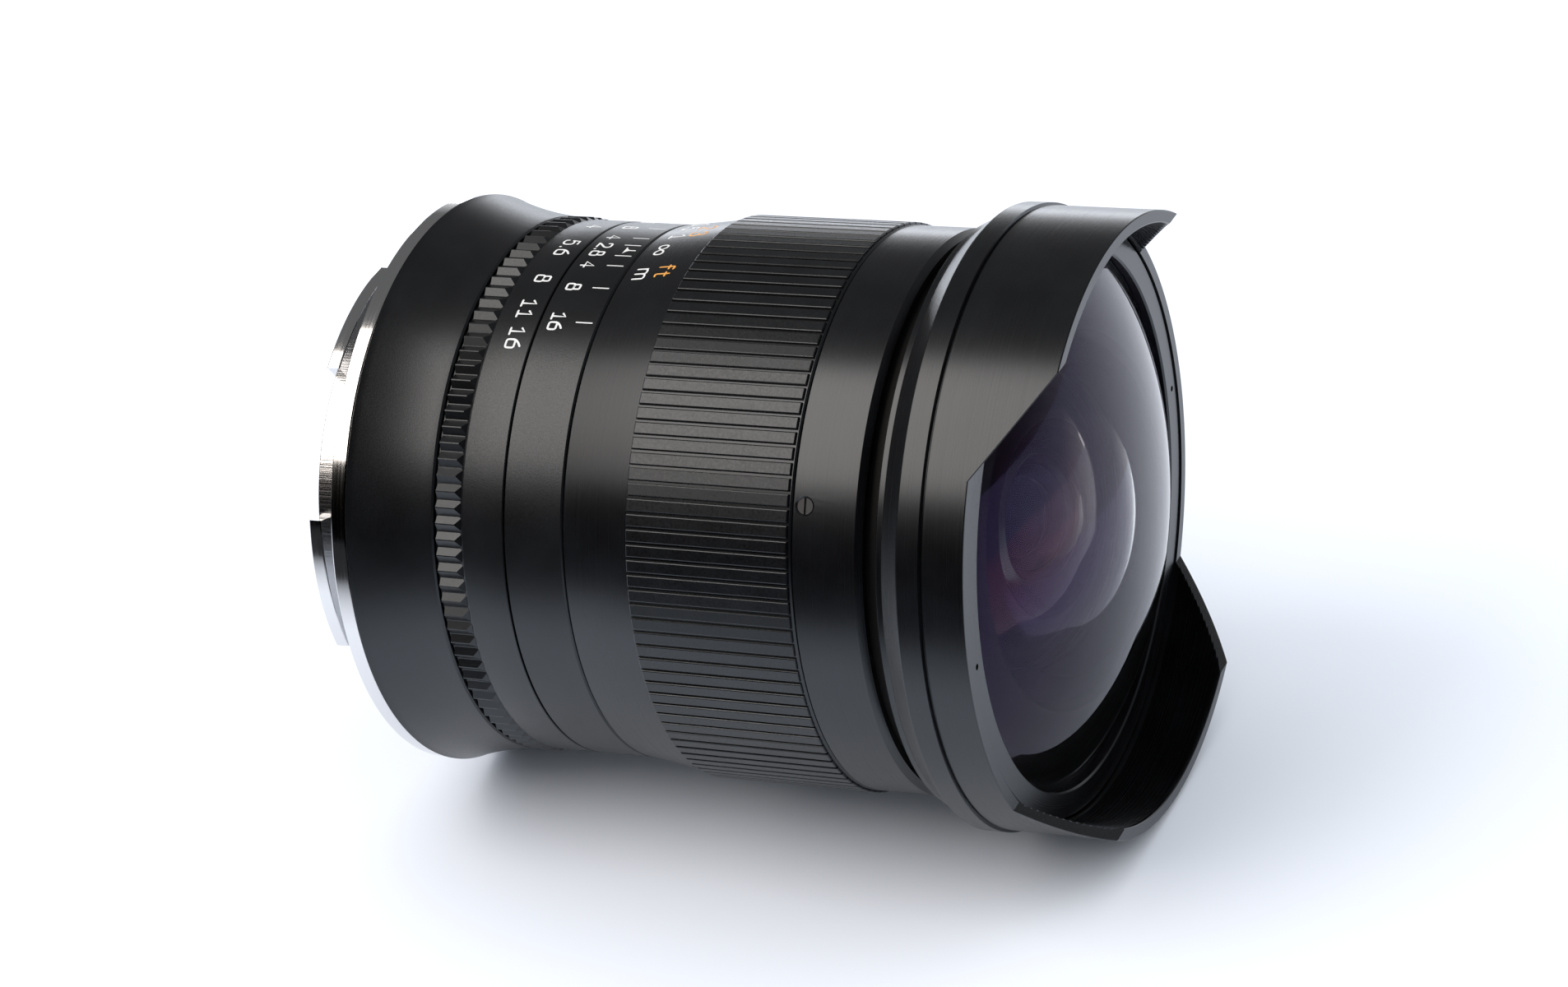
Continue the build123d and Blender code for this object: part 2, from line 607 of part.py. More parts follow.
def aperture_ring():
    """Turning ring with a toothed grip and a plain band for the numbers."""
    grip_front_place = aperture_rear + APERTURE_GRIP_LENGTH
    web_front = aperture_rear + APERTURE_WEB_LENGTH
    shell = APERTURE_BAND_RADIUS - APERTURE_BAND_WALL
    edge = APERTURE_BAND_RADIUS - EDGE_BREAK
    body = turned(
        (cam_inner, grip_front_place), (APERTURE_BAND_RADIUS, grip_front_place),
        (APERTURE_BAND_RADIUS, aperture_front - EDGE_BREAK), (edge, aperture_front),
        (shell, aperture_front), (shell, web_front), (cam_inner, web_front))
    body += ribbed_ring(cam_inner, APERTURE_GRIP_RADIUS, APERTURE_TOOTH_DEPTH, APERTURE_TEETH,
                        APERTURE_TOOTH_SHARE, aperture_rear, grip_front_place)
    body -= coupling_pin(SEAT_GAP)
    ball = Pos(CLICK_CIRCLE_RADIUS, ball_place()) * Circle(CLICK_BALL_RADIUS + RUNNING_GAP)
    side = math.degrees(CLICK_BALL_RADIUS / CLICK_CIRCLE_RADIUS)
    track = Rot(0, 0, CLICK_ANGLE - APERTURE_OPENING_TURN - side + 90) * revolve(
        Plane.XZ * ball, Axis.Z, aperture_turn + 2 * side)
    body -= track
    for turn in CLICK_TURNS:
        dimple = Sphere(CLICK_DIMPLE_RADIUS)
        body -= at(CLICK_CIRCLE_RADIUS, CLICK_ANGLE - turn, ball_place()) * dimple
    return body


def coupling_pin(gap=0.0):
    """Radial pin that carries the aperture ring's turn to the iris."""
    return radial_rod(COUPLING_PIN_RADIUS + gap, COUPLING_PIN_REACH, COUPLING_PIN_HEAD + gap,
                      COUPLING_PIN_PLACE, COUPLING_PIN_ANGLE)


def focus_ring():
    """Turning ring: a cone with the distance scale, then a ridged grip."""
    bore = cam_outer + SEAT_GAP
    step = CAM_FLANGE_RADIUS + SEAT_GAP
    step_place = cam_front - CAM_FLANGE_THICK - SEAT_GAP
    rear_radius = SCALE_RING_RADIUS
    base = FOCUS_GRIP_RADIUS - FOCUS_RIDGE_DEPTH
    body = turned(
        (bore, focus_rear), (rear_radius - EDGE_BREAK, focus_rear),
        (rear_radius, focus_rear + EDGE_BREAK), (FOCUS_CONE_RADIUS, cone_front),
        (base, cone_front), (base, grip_front), (step, grip_front), (step, step_place),
        (bore, step_place))
    body += ribbed_ring(CAM_FLANGE_RADIUS + SIDE_GAP, FOCUS_GRIP_RADIUS, FOCUS_RIDGE_DEPTH,
                        FOCUS_RIDGES, FOCUS_RIDGE_SHARE, cone_front, grip_front)
    side = math.degrees((STOP_PIN_RADIUS + SIDE_GAP) / STOP_CIRCLE_RADIUS)
    half = STOP_PIN_RADIUS + SIDE_GAP
    body -= sector(STOP_CIRCLE_RADIUS - half, STOP_CIRCLE_RADIUS + half, focus_rear - OVERRUN,
                   focus_rear + STOP_GROOVE_DEPTH, STOP_PIN_ANGLE - FOCUS_TURN - side,
                   FOCUS_TURN + 2 * side)
    for space in focus_screw_set(SEAT_GAP):
        body -= space
    return body


def focus_screw_set(gap=0.0):
    return screw_set(FOCUS_SCREW, FOCUS_SCREW_CIRCLE, cam_front, TRIPLE, 0.0, False, gap)


def helicoid_ring():
    """Cam ring with three helical slots that move the optical unit."""
    body = turned(
        (cam_inner, CAM_RING_PLACE), (cam_outer, CAM_RING_PLACE),
        (cam_outer, cam_front - CAM_FLANGE_THICK), (CAM_FLANGE_RADIUS, cam_front - CAM_FLANGE_THICK),
        (CAM_FLANGE_RADIUS, cam_front), (cam_inner, cam_front))
    for angle in FOLLOWER_ANGLES:
        body -= cam_slot(angle)
    for space in focus_screw_set(SEAT_GAP):
        body -= space
    return body


def cam_slot(angle):
    """Helical slot that rises forward as the angle falls."""
    radius = FOLLOWER_RADIUS + RUNNING_GAP
    low = cam_inner - OVERRUN
    high = cam_outer + OVERRUN
    middle = (low + high) / 2
    pitch = 2 * math.pi * FOCUS_LIFT_PER_RADIAN
    path = Helix(pitch, focus_travel, middle, lefthand=True)
    start = path @ 0
    section = Plane(start, x_dir=(1, 0, 0), z_dir=path % 0) * Rectangle(high - low, 2 * radius)
    run = Rot(0, 0, angle + 90) * Pos(0, 0, FOLLOWER_PLACE) * sweep(section, path=path, is_frenet=True)
    first = radial_rod(radius, low, high, FOLLOWER_PLACE, angle)
    last = radial_rod(radius, low, high, FOLLOWER_PLACE + focus_travel, angle - FOCUS_TURN)
    return run + first + last


def cam_followers():
    """Three rollers of the optical unit that run in the cam ring."""
    tip = cam_outer - FOLLOWER_TIP_GAP
    root = sleeve_inner + SIDE_GAP
    return [radial_rod(FOLLOWER_RADIUS, root, tip, FOLLOWER_PLACE, angle)
            for angle in FOLLOWER_ANGLES]


def hood_screw_set(gap=0.0):
    place = hood_rear + HOOD_SCREW[1] + HOOD_SCREW_SETBACK
    return screw_set(HOOD_SCREW, HOOD_SCREW_CIRCLE, place, TRIPLE, 0.0, gap=gap)


def lens_hood():
    """Fixed petal hood with fine baffle teeth inside."""
    teeth = []
    tip = HOOD_TIP_PLACE - BAFFLE_TIP_SETBACK
    for index in range(BAFFLE_TEETH):
        place = tip - index * BAFFLE_TOOTH_PITCH
        teeth.append((HOOD_BORE, place))
        teeth.append((HOOD_BORE + BAFFLE_TOOTH_DEPTH, place - BAFFLE_TOOTH_PITCH))
    root = tip - BAFFLE_TEETH * BAFFLE_TOOTH_PITCH
    body = turned(
        (HOOD_LIP_RADIUS, hood_rear), (HOOD_NECK_RADIUS, hood_rear),
        (HOOD_REAR_RADIUS, hood_shoulder), (HOOD_REAR_RADIUS, hood_line),
        (HOOD_RADIUS - HOOD_LINE_DEPTH, hood_line), (HOOD_RADIUS, hood_line + HOOD_LINE_DEPTH),
        (HOOD_RADIUS, HOOD_TIP_PLACE), (HOOD_BORE, HOOD_TIP_PLACE), *teeth,
        (HOOD_BORE, root), (HOOD_BORE, hood_lip_front), (HOOD_LIP_RADIUS, hood_lip_front))
    tip_half = HOOD_RADIUS * math.cos(math.radians(PETAL_TIP_ANGLE))
    foot_half = HOOD_RADIUS * math.cos(math.radians(PETAL_FOOT_ANGLE))
    slope = (tip_half - foot_half) / (HOOD_TIP_PLACE - HOOD_RIM_PLACE)
    over_half = tip_half + slope * OVERRUN
    over_place = HOOD_TIP_PLACE + OVERRUN
    outline = Polyline(
        (0, -foot_half, HOOD_RIM_PLACE), (0, foot_half, HOOD_RIM_PLACE),
        (0, over_half, over_place), (0, -over_half, over_place), close=True)
    notch = extrude(make_face(outline), HOOD_REAR_RADIUS + OVERRUN, (1, 0, 0), both=True)
    body -= notch
    for space in hood_screw_set(SEAT_GAP):
        body -= space
    return body


def glass_seat():
    """Place of the front element's flat rear face."""
    return on_surface(SURFACE_2, CLEAR_2)


def front_ring_rear():
    return on_surface(SURFACE_1, FRONT_RING_INNER) + SEAT_GAP


def ring_2_rear():
    return on_surface(SURFACE_3, EDGE_2 - RING_LAP_2) + SEAT_GAP


def front_cell():
    """Cell for the first three groups; it also carries the hood."""
    seat = glass_seat() - GASKET_THICK - SEAT_GAP
    pocket = seat - CELL_POCKET_DEPTH
    top = front_ring_rear() - SEAT_GAP
    thread_rear = top - CELL_THREAD_LENGTH
    flange_rear = hood_lip_front + SEAT_GAP
    bore_1 = EDGE_1 + RUNNING_GAP
    bore_2 = EDGE_2 + RUNNING_GAP
    bore_3 = EDGE_3 + RUNNING_GAP
    ring_bore = EDGE_2 - RING_LAP_2 + RING_WALL_2 + RUNNING_GAP
    seat_2 = on_surface(SURFACE_4, CLEAR_4) - SEAT_GAP
    seat_3 = on_surface(SURFACE_6, EDGE_4) - SEAT_GAP
    body = turned(
        (CELL_FLANGE_RADIUS, flange_rear), (CELL_FLANGE_RADIUS, thread_rear),
        (CELL_THREAD_RADIUS, thread_rear), (CELL_THREAD_RADIUS, top), (bore_1, top),
        (bore_1, seat), (CELL_GASKET_SEAT_RADIUS, seat), (CELL_GASKET_SEAT_RADIUS, pocket),
        (ring_bore, pocket), (ring_bore, on_surface(SURFACE_3, EDGE_2)),
        (bore_2, on_surface(SURFACE_3, EDGE_2)), (bore_2, seat_2), (bore_3, seat_2), (bore_3, seat_3),
        (CELL_CORE_SEAT_RADIUS, seat_3), (CELL_CORE_SEAT_RADIUS, CELL_CORE_PLACE),
        (CELL_CORE_RADIUS, CELL_CORE_PLACE), (CELL_CORE_RADIUS, CELL_BODY_PLACE),
        (NECK_RADIUS, CELL_BODY_PLACE), (NECK_RADIUS, flange_rear))
    for space in hood_screw_set(SEAT_GAP) + cell_screw_set(SEAT_GAP):
        body -= space
    return body


def front_gasket():
    """Rubber ring under the front element."""
    rear = glass_seat() - SEAT_GAP - GASKET_THICK
    return tube(EDGE_1 - GASKET_WIDTH, EDGE_1, rear, rear + GASKET_THICK)


def front_retaining_ring():
    """Threaded ring with two spanner holes in front of the glass."""
    rear = front_ring_rear()
    thread = CELL_THREAD_RADIUS + RUNNING_GAP
    front = rear + FRONT_RING_THICK
    outside = thread + FRONT_RING_WALL
    body = turned(
        (FRONT_RING_INNER, rear), (thread, rear), (thread, rear - FRONT_RING_SKIRT),
        (outside, rear - FRONT_RING_SKIRT), (outside, front), (FRONT_RING_INNER + EDGE_BREAK, front),
        (FRONT_RING_INNER, front - EDGE_BREAK))
    hole = Cylinder(FRONT_RING_HOLE_RADIUS, 2 * FRONT_RING_HOLE_DEPTH)
    for angle in (90, 270):
        body -= at(FRONT_RING_HOLE_CIRCLE, angle, front) * hole
    return body


def second_retaining_ring():
    inner = EDGE_2 - RING_LAP_2
    rear = ring_2_rear()
    return tube(inner, inner + RING_WALL_2, rear, rear + RING_THICK_2)


def third_retaining_ring():
    rear = on_surface(SURFACE_5, EDGE_3) + SEAT_GAP
    return tube(EDGE_3 - RING_LAP_3, EDGE_3, rear, rear + RING_THICK_3)


def cell_screw_set(gap=0.0):
    place = sleeve_front - SLEEVE_FLANGE_THICK + CELL_SCREW[1]
    return screw_set(CELL_SCREW, CELL_SCREW_CIRCLE, place, TRIPLE, 0.0, gap=gap)


def sliding_sleeve():
    """Sleeve that slides in the fixed tube and joins the cells to the iris."""
    ledge_rear = ledge_front - SLEEVE_LEDGE_THICK
    flange_rear = sleeve_front - SLEEVE_FLANGE_THICK
    lip_front = sleeve_lip_rear + SLEEVE_LIP_THICK
    body = turned(
        (sleeve_inner, IRIS_CUP_PLACE), (SLEEVE_RADIUS, IRIS_CUP_PLACE),
        (SLEEVE_RADIUS, flange_rear), (SLEEVE_FLANGE_RADIUS, flange_rear),
        (SLEEVE_FLANGE_RADIUS, sleeve_front), (sleeve_inner, sleeve_front),
        (sleeve_inner, ledge_front), (SLEEVE_LEDGE_RADIUS, ledge_front),
        (SLEEVE_LEDGE_RADIUS, ledge_rear), (sleeve_inner, ledge_rear), (sleeve_inner, lip_front),
        (SLEEVE_LEDGE_RADIUS, lip_front), (SLEEVE_LEDGE_RADIUS, sleeve_lip_rear),
        (sleeve_inner, sleeve_lip_rear))
    for angle in FOLLOWER_ANGLES:
        body -= radial_rod(FOLLOWER_RADIUS + SEAT_GAP, sleeve_inner, SLEEVE_RADIUS + OVERRUN,
                           FOLLOWER_PLACE, angle)
    for space in (cell_screw_set(SEAT_GAP) + middle_screw_set(SEAT_GAP) + iris_screw_set(SEAT_GAP)):
        body -= space
    return body


def middle_screw_set(gap=0.0):
    place = MIDDLE_FLANGE_PLACE + MIDDLE_FLANGE_THICK
    return screw_set(MIDDLE_SCREW, MIDDLE_SCREW_CIRCLE, place, TRIPLE, 0.0, False, gap)


def middle_cell():
    """Cell for the two groups in front of the iris."""
    seat_5 = on_surface(SURFACE_9, EDGE_5 - SEAT_LAP_5) - SEAT_GAP
    seat_6 = on_surface(SURFACE_10, EDGE_6 - SEAT_LAP_6) + SEAT_GAP
    flange_front = MIDDLE_FLANGE_PLACE + MIDDLE_FLANGE_THICK
    flange_radius = sleeve_inner - SEAT_GAP
    body = turned(
        (EDGE_6 + RUNNING_GAP, MIDDLE_CELL_REAR), (MIDDLE_CELL_RADIUS, MIDDLE_CELL_REAR),
        (MIDDLE_CELL_RADIUS, MIDDLE_FLANGE_PLACE), (flange_radius, MIDDLE_FLANGE_PLACE),
        (flange_radius, flange_front), (MIDDLE_CELL_RADIUS, flange_front),
        (MIDDLE_CELL_RADIUS, MIDDLE_CELL_FRONT), (EDGE_5 + RUNNING_GAP, MIDDLE_CELL_FRONT),
        (EDGE_5 + RUNNING_GAP, seat_5), (EDGE_5 - SEAT_LAP_5, seat_5),
        (EDGE_6 - SEAT_LAP_6, (seat_5 + seat_6) / 2), (EDGE_6 - SEAT_LAP_6, seat_6),
        (EDGE_6 + RUNNING_GAP, seat_6))
    for space in middle_screw_set(SEAT_GAP):
        body -= space
    return body


def fourth_retaining_ring():
    inner = EDGE_5 - RING_LAP_5
    rear = on_surface(SURFACE_8, inner) + SEAT_GAP
    return tube(inner, EDGE_5, rear, rear + RING_THICK_5)


def fifth_retaining_ring():
    front = on_surface(SURFACE_12, EDGE_6) - SEAT_GAP
    return tube(EDGE_6 - RING_LAP_7, EDGE_6, front - RING_THICK_7, front)


def iris_screw_set(gap=0.0):
    place = iris_cover_rear + IRIS_SCREW[1]
    return screw_set(IRIS_SCREW, IRIS_SCREW_CIRCLE, place, TRIPLE, 60.0, gap=gap)


def iris_base_plate():
    """Cup with the blades' pivot holes in its floor."""
    front = IRIS_PLATE_PLACE + IRIS_PLATE_THICK
    outside = sleeve_inner - SEAT_GAP
    body = turned(
        (IRIS_PLATE_OPENING, IRIS_PLATE_PLACE), (IRIS_PLATE_OPENING, front), (outside, front),
        (outside, IRIS_CUP_PLACE), (IRIS_CUP_BORE, IRIS_CUP_PLACE), (IRIS_CUP_BORE, IRIS_PLATE_PLACE))
    hole = Cylinder(BLADE_PIN_RADIUS + BLADE_PIN_GAP, 2 * IRIS_PLATE_THICK + OVERRUN)
    for angle in shared(BLADES):
        body -= at(BLADE_PIVOT_CIRCLE, angle, IRIS_PLATE_PLACE) * hole
    for space in iris_screw_set(SEAT_GAP):
        body -= space
    return body


def tab_start():
    return COUPLING_PIN_ANGLE - DRIVE_TAB_SPAN / 2


def iris_cover_plate():
    """Plate that closes the iris from behind, with a slot for the drive ring's tab."""
    body = tube(IRIS_COVER_OPENING, sleeve_inner - SEAT_GAP, iris_cover_rear,
                IRIS_CUP_PLACE - SEAT_GAP)
    body -= sector(DRIVE_TAB_INNER - 2 * RUNNING_GAP, DRIVE_TAB_INNER + DRIVE_TAB_THICK + 2 * RUNNING_GAP,
                   iris_cover_rear - OVERRUN, IRIS_CUP_PLACE + OVERRUN,
                   tab_start() - APERTURE_CLOSING_TURN - DRIVE_TAB_SIDE_SPAN,
                   aperture_turn + DRIVE_TAB_SPAN + 2 * DRIVE_TAB_SIDE_SPAN)
    for space in iris_screw_set(SEAT_GAP) + rear_cell_screw_set(SEAT_GAP):
        body -= space
    return body


def blade_drive_point(turn):
    """Where a blade's drive pin is when the blade has turned inward by an angle."""
    spin = math.radians(-turn)
    tip = math.radians(90 - BLADE_SPAN)
    x = BLADE_PIVOT_CIRCLE * math.cos(tip)
    y = BLADE_PIVOT_CIRCLE * math.sin(tip) - BLADE_PIVOT_CIRCLE
    return (x * math.cos(spin) - y * math.sin(spin),
            x * math.sin(spin) + y * math.cos(spin) + BLADE_PIVOT_CIRCLE)


def drive_slot():
    """Curved slot of the drive ring that follows a blade's drive pin."""
    centres = []
    for index in range(SLOT_POINTS):
        turn = aperture_turn * index / (SLOT_POINTS - 1) - APERTURE_CLOSING_TURN
        x, y = blade_drive_point(blade_rest_turn - turn * blade_ratio)
        back = math.radians(-turn)
        centres.append((x * math.cos(back) - y * math.sin(back),
                        x * math.sin(back) + y * math.cos(back)))
    half = BLADE_PIN_RADIUS + BLADE_DRIVE_GAP
    left, right = [], []
    for index, (x, y) in enumerate(centres):
        before = centres[max(index - 1, 0)]
        after = centres[min(index + 1, SLOT_POINTS - 1)]
        length = math.dist(before, after)
        side = ((before[1] - after[1]) / length * half, (after[0] - before[0]) / length * half)
        left.append((x + side[0], y + side[1]))
        right.append((x - side[0], y - side[1]))
    face = make_face(Polyline(*left, *reversed(right), close=True))
    face += Pos(*centres[0]) * Circle(half)
    face += Pos(*centres[-1]) * Circle(half)
    return Pos(0, 0, drive_ring_rear - OVERRUN) * extrude(face, DRIVE_RING_THICK + 2 * OVERRUN)


def iris_drive_ring():
    """Ring that turns all the blades; its forked tab takes the coupling pin."""
    body = tube(DRIVE_RING_INNER, IRIS_CUP_BORE - RUNNING_GAP, drive_ring_rear, drive_ring_front)
    body += sector(DRIVE_TAB_INNER, DRIVE_TAB_INNER + DRIVE_TAB_THICK, DRIVE_TAB_REAR,
                   drive_ring_front, tab_start(), DRIVE_TAB_SPAN)
    fork_length = DRIVE_FORK_FRONT - DRIVE_TAB_REAR + OVERRUN
    fork = Box(2 * (COUPLING_PIN_RADIUS + RUNNING_GAP), 2 * DRIVE_TAB_THICK + OVERRUN, fork_length)
    body -= at(DRIVE_TAB_INNER + DRIVE_TAB_THICK / 2, COUPLING_PIN_ANGLE,
               DRIVE_FORK_FRONT - fork_length / 2) * fork
    slot = drive_slot()
    for angle in shared(BLADES):
        body -= Rot(0, 0, angle) * slot
    return body


def iris_blade(index):
    """Curved leaf with a pivot pin to the front and a drive pin to the rear."""
    front = IRIS_PLATE_PLACE - BLADE_THICK / 2 - index * BLADE_STEP
    rear = front - BLADE_THICK
    leaf = Rot(0, 0, -BLADE_SPAN - BLADE_END_OVERLAP) * sector(
        BLADE_INNER, BLADE_OUTER, rear, front, 0, BLADE_SPAN + 2 * BLADE_END_OVERLAP)
    arm_low = (BLADE_INNER + BLADE_OUTER) / 2
    arm_length = BLADE_PIVOT_CIRCLE - arm_low
    middle = (rear + front) / 2
    for angle in (0, -BLADE_SPAN):
        leaf += at(arm_low + arm_length / 2, angle, middle) * Box(
            2 * BLADE_ARM_HALF_WIDTH, arm_length, BLADE_THICK)
        leaf += at(BLADE_PIVOT_CIRCLE, angle, middle) * Cylinder(BLADE_ARM_HALF_WIDTH, BLADE_THICK)
    pivot_top = IRIS_PLATE_PLACE + IRIS_PLATE_THICK - SEAT_GAP
    leaf += at(BLADE_PIVOT_CIRCLE, 0, (pivot_top + middle) / 2) * Cylinder(
        BLADE_PIN_RADIUS, pivot_top - middle)
    drive_end = drive_ring_rear + DRIVE_PIN_SETBACK
    leaf += at(BLADE_PIVOT_CIRCLE, -BLADE_SPAN, (drive_end + middle) / 2) * Cylinder(
        BLADE_PIN_RADIUS, middle - drive_end)
    pivot = Pos(0, BLADE_PIVOT_CIRCLE, 0)
    turned_in = pivot * Rot(0, 0, -blade_rest_turn) * Pos(0, -BLADE_PIVOT_CIRCLE, 0) * leaf
    return Rot(0, 0, 360 * index / BLADES) * turned_in


def rear_cell_screw_set(gap=0.0):
    place = iris_cover_rear - SEAT_GAP - REAR_CELL_FLANGE_THICK
    return screw_set(REAR_CELL_SCREW, REAR_CELL_SCREW_CIRCLE, place, TRIPLE, 0.0, gap=gap)


def rear_cell():
    """Cell for the two groups behind the iris."""
    top = iris_cover_rear - SEAT_GAP
    seat_9 = on_surface(SURFACE_15, EDGE_8 - SEAT_LAP_9) - SEAT_GAP
    seat_10 = on_surface(SURFACE_16, EDGE_10 - SEAT_LAP_10) + SEAT_GAP
    bore_8 = EDGE_8 + RUNNING_GAP
    bore_10 = EDGE_10 + RUNNING_GAP
    step = seat_10 + REAR_CELL_STEP
    body = turned(
        (bore_10, REAR_CELL_REAR), (REAR_CELL_RADIUS, REAR_CELL_REAR),
        (REAR_CELL_RADIUS, top - REAR_CELL_FLANGE_THICK),
        (REAR_CELL_FLANGE_RADIUS, top - REAR_CELL_FLANGE_THICK), (REAR_CELL_FLANGE_RADIUS, top),
        (bore_8, top), (bore_8, seat_9), (EDGE_8 - SEAT_LAP_9, seat_9), (EDGE_8 - SEAT_LAP_9, step),
        (EDGE_10 - SEAT_LAP_10, step), (EDGE_10 - SEAT_LAP_10, seat_10), (bore_10, seat_10))
    for space in rear_cell_screw_set(SEAT_GAP):
        body -= space
    return body


def sixth_retaining_ring():
    rear = on_surface(SURFACE_13, EDGE_8) + SEAT_GAP
    return tube(EDGE_8 - RING_LAP_8, EDGE_8, rear, rear + RING_THICK_8)


def rear_retaining_ring():
    front = on_surface(SURFACE_18, EDGE_10 - RING_LAP_11) - SEAT_GAP
    return tube(EDGE_10 - RING_LAP_11, EDGE_10, front - RING_THICK_11, front)


def elements():
    """The eleven pieces of glass, front to rear."""
    return [
        element(SURFACE_1, SURFACE_2, EDGE_1, CLEAR_2),
        element(SURFACE_3, SURFACE_4, EDGE_2, CLEAR_4),
        element(SURFACE_5, SURFACE_6, EDGE_3, EDGE_4),
        element(SURFACE_6, SURFACE_7, EDGE_4, front_shift=CEMENT_GAP),
        element(SURFACE_8, SURFACE_9, EDGE_5),
        element(SURFACE_10, SURFACE_11, EDGE_6),
        element(SURFACE_11, SURFACE_12, EDGE_6, front_shift=CEMENT_GAP),
        element(SURFACE_13, SURFACE_14, EDGE_8),
        element(SURFACE_14, SURFACE_15, EDGE_8, front_shift=CEMENT_GAP),
        element(SURFACE_16, SURFACE_17, EDGE_10),
        element(SURFACE_17, SURFACE_18, EDGE_10, front_shift=CEMENT_GAP),
    ]


def to_frame(shape):
    """Lay the lens down: front towards -Y, index line on top."""
    return Rot(90, 0, 0) * shape


def solids_of(shape):
    """One shape from a piece or from a list of equal pieces."""
    if not isinstance(shape, list):
        return to_frame(shape)
    return Compound(children=[to_frame(each) for each in shape])


def all_pieces():
    """Every node's shape under its name."""
    pieces = {
        "mount_flange": mount_flange(),
        "mount_screws": mount_screw_set(),
        "rear_baffle": rear_baffle(),
        "baffle_screws": baffle_screw_set(),
        "rear_barrel": rear_barrel(),
        "main_tube": main_tube(),
        "dof_scale_ring": dof_scale_ring(),
        "dof_ring_screws": scale_screw_set(),
        "focus_stop_pin": stop_pin(),
        "front_barrel": front_barrel(),
        "front_barrel_screws": front_screw_set(),
        "click_ball": click_ball(),
        "click_spring": click_spring(),
        "aperture_ring": aperture_ring(),
        "aperture_coupling_pin": coupling_pin(),
        "focus_ring": focus_ring(),
        "helicoid_ring": helicoid_ring(),
        "focus_ring_screws": focus_screw_set(),
        "lens_hood": lens_hood(),
        "hood_screws": hood_screw_set(),
        "front_cell": front_cell(),
        "front_gasket": front_gasket(),
        "front_retaining_ring": front_retaining_ring(),
        "second_retaining_ring": second_retaining_ring(),
        "third_retaining_ring": third_retaining_ring(),
        "sliding_sleeve": sliding_sleeve(),
        "cam_followers": cam_followers(),
        "cell_screws": cell_screw_set(),
        "middle_cell": middle_cell(),
        "middle_cell_screws": middle_screw_set(),
        "fourth_retaining_ring": fourth_retaining_ring(),
        "fifth_retaining_ring": fifth_retaining_ring(),
        "iris_base_plate": iris_base_plate(),
        "iris_cover_plate": iris_cover_plate(),
        "iris_screws": iris_screw_set(),
        "iris_drive_ring": iris_drive_ring(),
        "rear_cell": rear_cell(),
        "rear_cell_screws": rear_cell_screw_set(),
        "sixth_retaining_ring": sixth_retaining_ring(),
        "rear_retaining_ring": rear_retaining_ring(),
    }
    for index in range(BLADES):
        pieces[f"iris_blade_{index + 1}"] = iris_blade(index)
    for index, glass in enumerate(elements()):
        name = "front_element" if index == 0 else f"lens_element_{index + 1}"
        pieces[name] = glass
    return {name: solids_of(shape) for name, shape in pieces.items()}


def main():
    os.makedirs("parts", exist_ok=True)
    for name, shape in all_pieces().items():
        export_step(shape, os.path.join("parts", name + ".step"))


main()
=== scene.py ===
import json
import math

import bmesh
import bpy
from mathutils import Matrix, Vector


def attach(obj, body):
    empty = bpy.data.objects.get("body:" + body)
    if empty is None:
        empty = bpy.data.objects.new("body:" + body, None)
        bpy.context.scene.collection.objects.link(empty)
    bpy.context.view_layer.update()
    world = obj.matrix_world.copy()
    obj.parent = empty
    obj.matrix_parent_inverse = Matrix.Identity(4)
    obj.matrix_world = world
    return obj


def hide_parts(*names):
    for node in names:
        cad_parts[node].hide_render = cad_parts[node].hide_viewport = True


bl_info = {
    "name": "Fisheye lens",
    "version": (1, 0, 0),
    "blender": (4, 5, 0),
    "location": "3D View > Sidebar > Lens",
    "description": "Rings, glass, scales and stage of a manual fisheye lens around its CAD frame",
    "category": "Object",
}

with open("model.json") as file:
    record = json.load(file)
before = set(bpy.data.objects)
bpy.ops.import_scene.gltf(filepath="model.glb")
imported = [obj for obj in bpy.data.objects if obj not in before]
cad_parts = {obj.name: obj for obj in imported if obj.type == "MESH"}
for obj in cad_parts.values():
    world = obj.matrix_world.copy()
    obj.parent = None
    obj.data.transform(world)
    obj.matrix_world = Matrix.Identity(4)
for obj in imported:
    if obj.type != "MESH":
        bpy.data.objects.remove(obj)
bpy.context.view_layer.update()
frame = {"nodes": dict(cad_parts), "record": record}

# The optical axis is the Y axis and the front looks towards -Y. A ring's outline is a list of
# (radius, place) corners in millimetres, with places counted forward from the flange's seat.
# Angles are degrees from the index line on top, growing towards -X.
MM = 0.001
FINE_STEPS = 256
GLASS_STEPS = 128
SMALL_STEPS = 24
SHARP_ANGLE = math.radians(14)

# Places along the axis, as in the CAD model
REAR_BARREL_REAR = 1.82
REAR_BARREL_FRONT = 11.84
APERTURE_REAR = 11.90
APERTURE_GRIP_FRONT = 15.34
APERTURE_WEB_FRONT = 17.5
APERTURE_FRONT = 20.44
SCALE_REAR = 20.50
SCALE_FRONT = 27.75
FOCUS_REAR = 27.81
CONE_FRONT = 36.24
GRIP_FRONT = 55.83
FRONT_BARREL_REAR = 55.89
FRONT_WEB_FRONT = 58.59
FRONT_BARREL_EDGE = 63.24
FRONT_BARREL_FRONT = 63.90
HOOD_REAR = 66.20
HOOD_LIP_FRONT = 69.00
HOOD_SHOULDER = 69.40
HOOD_LINE = 72.00
HOOD_RIM = 76.90
HOOD_TIP = 84.75
# Radius of the holes in the rings that sit on the inner tube
TUBE_BORE = 26.02

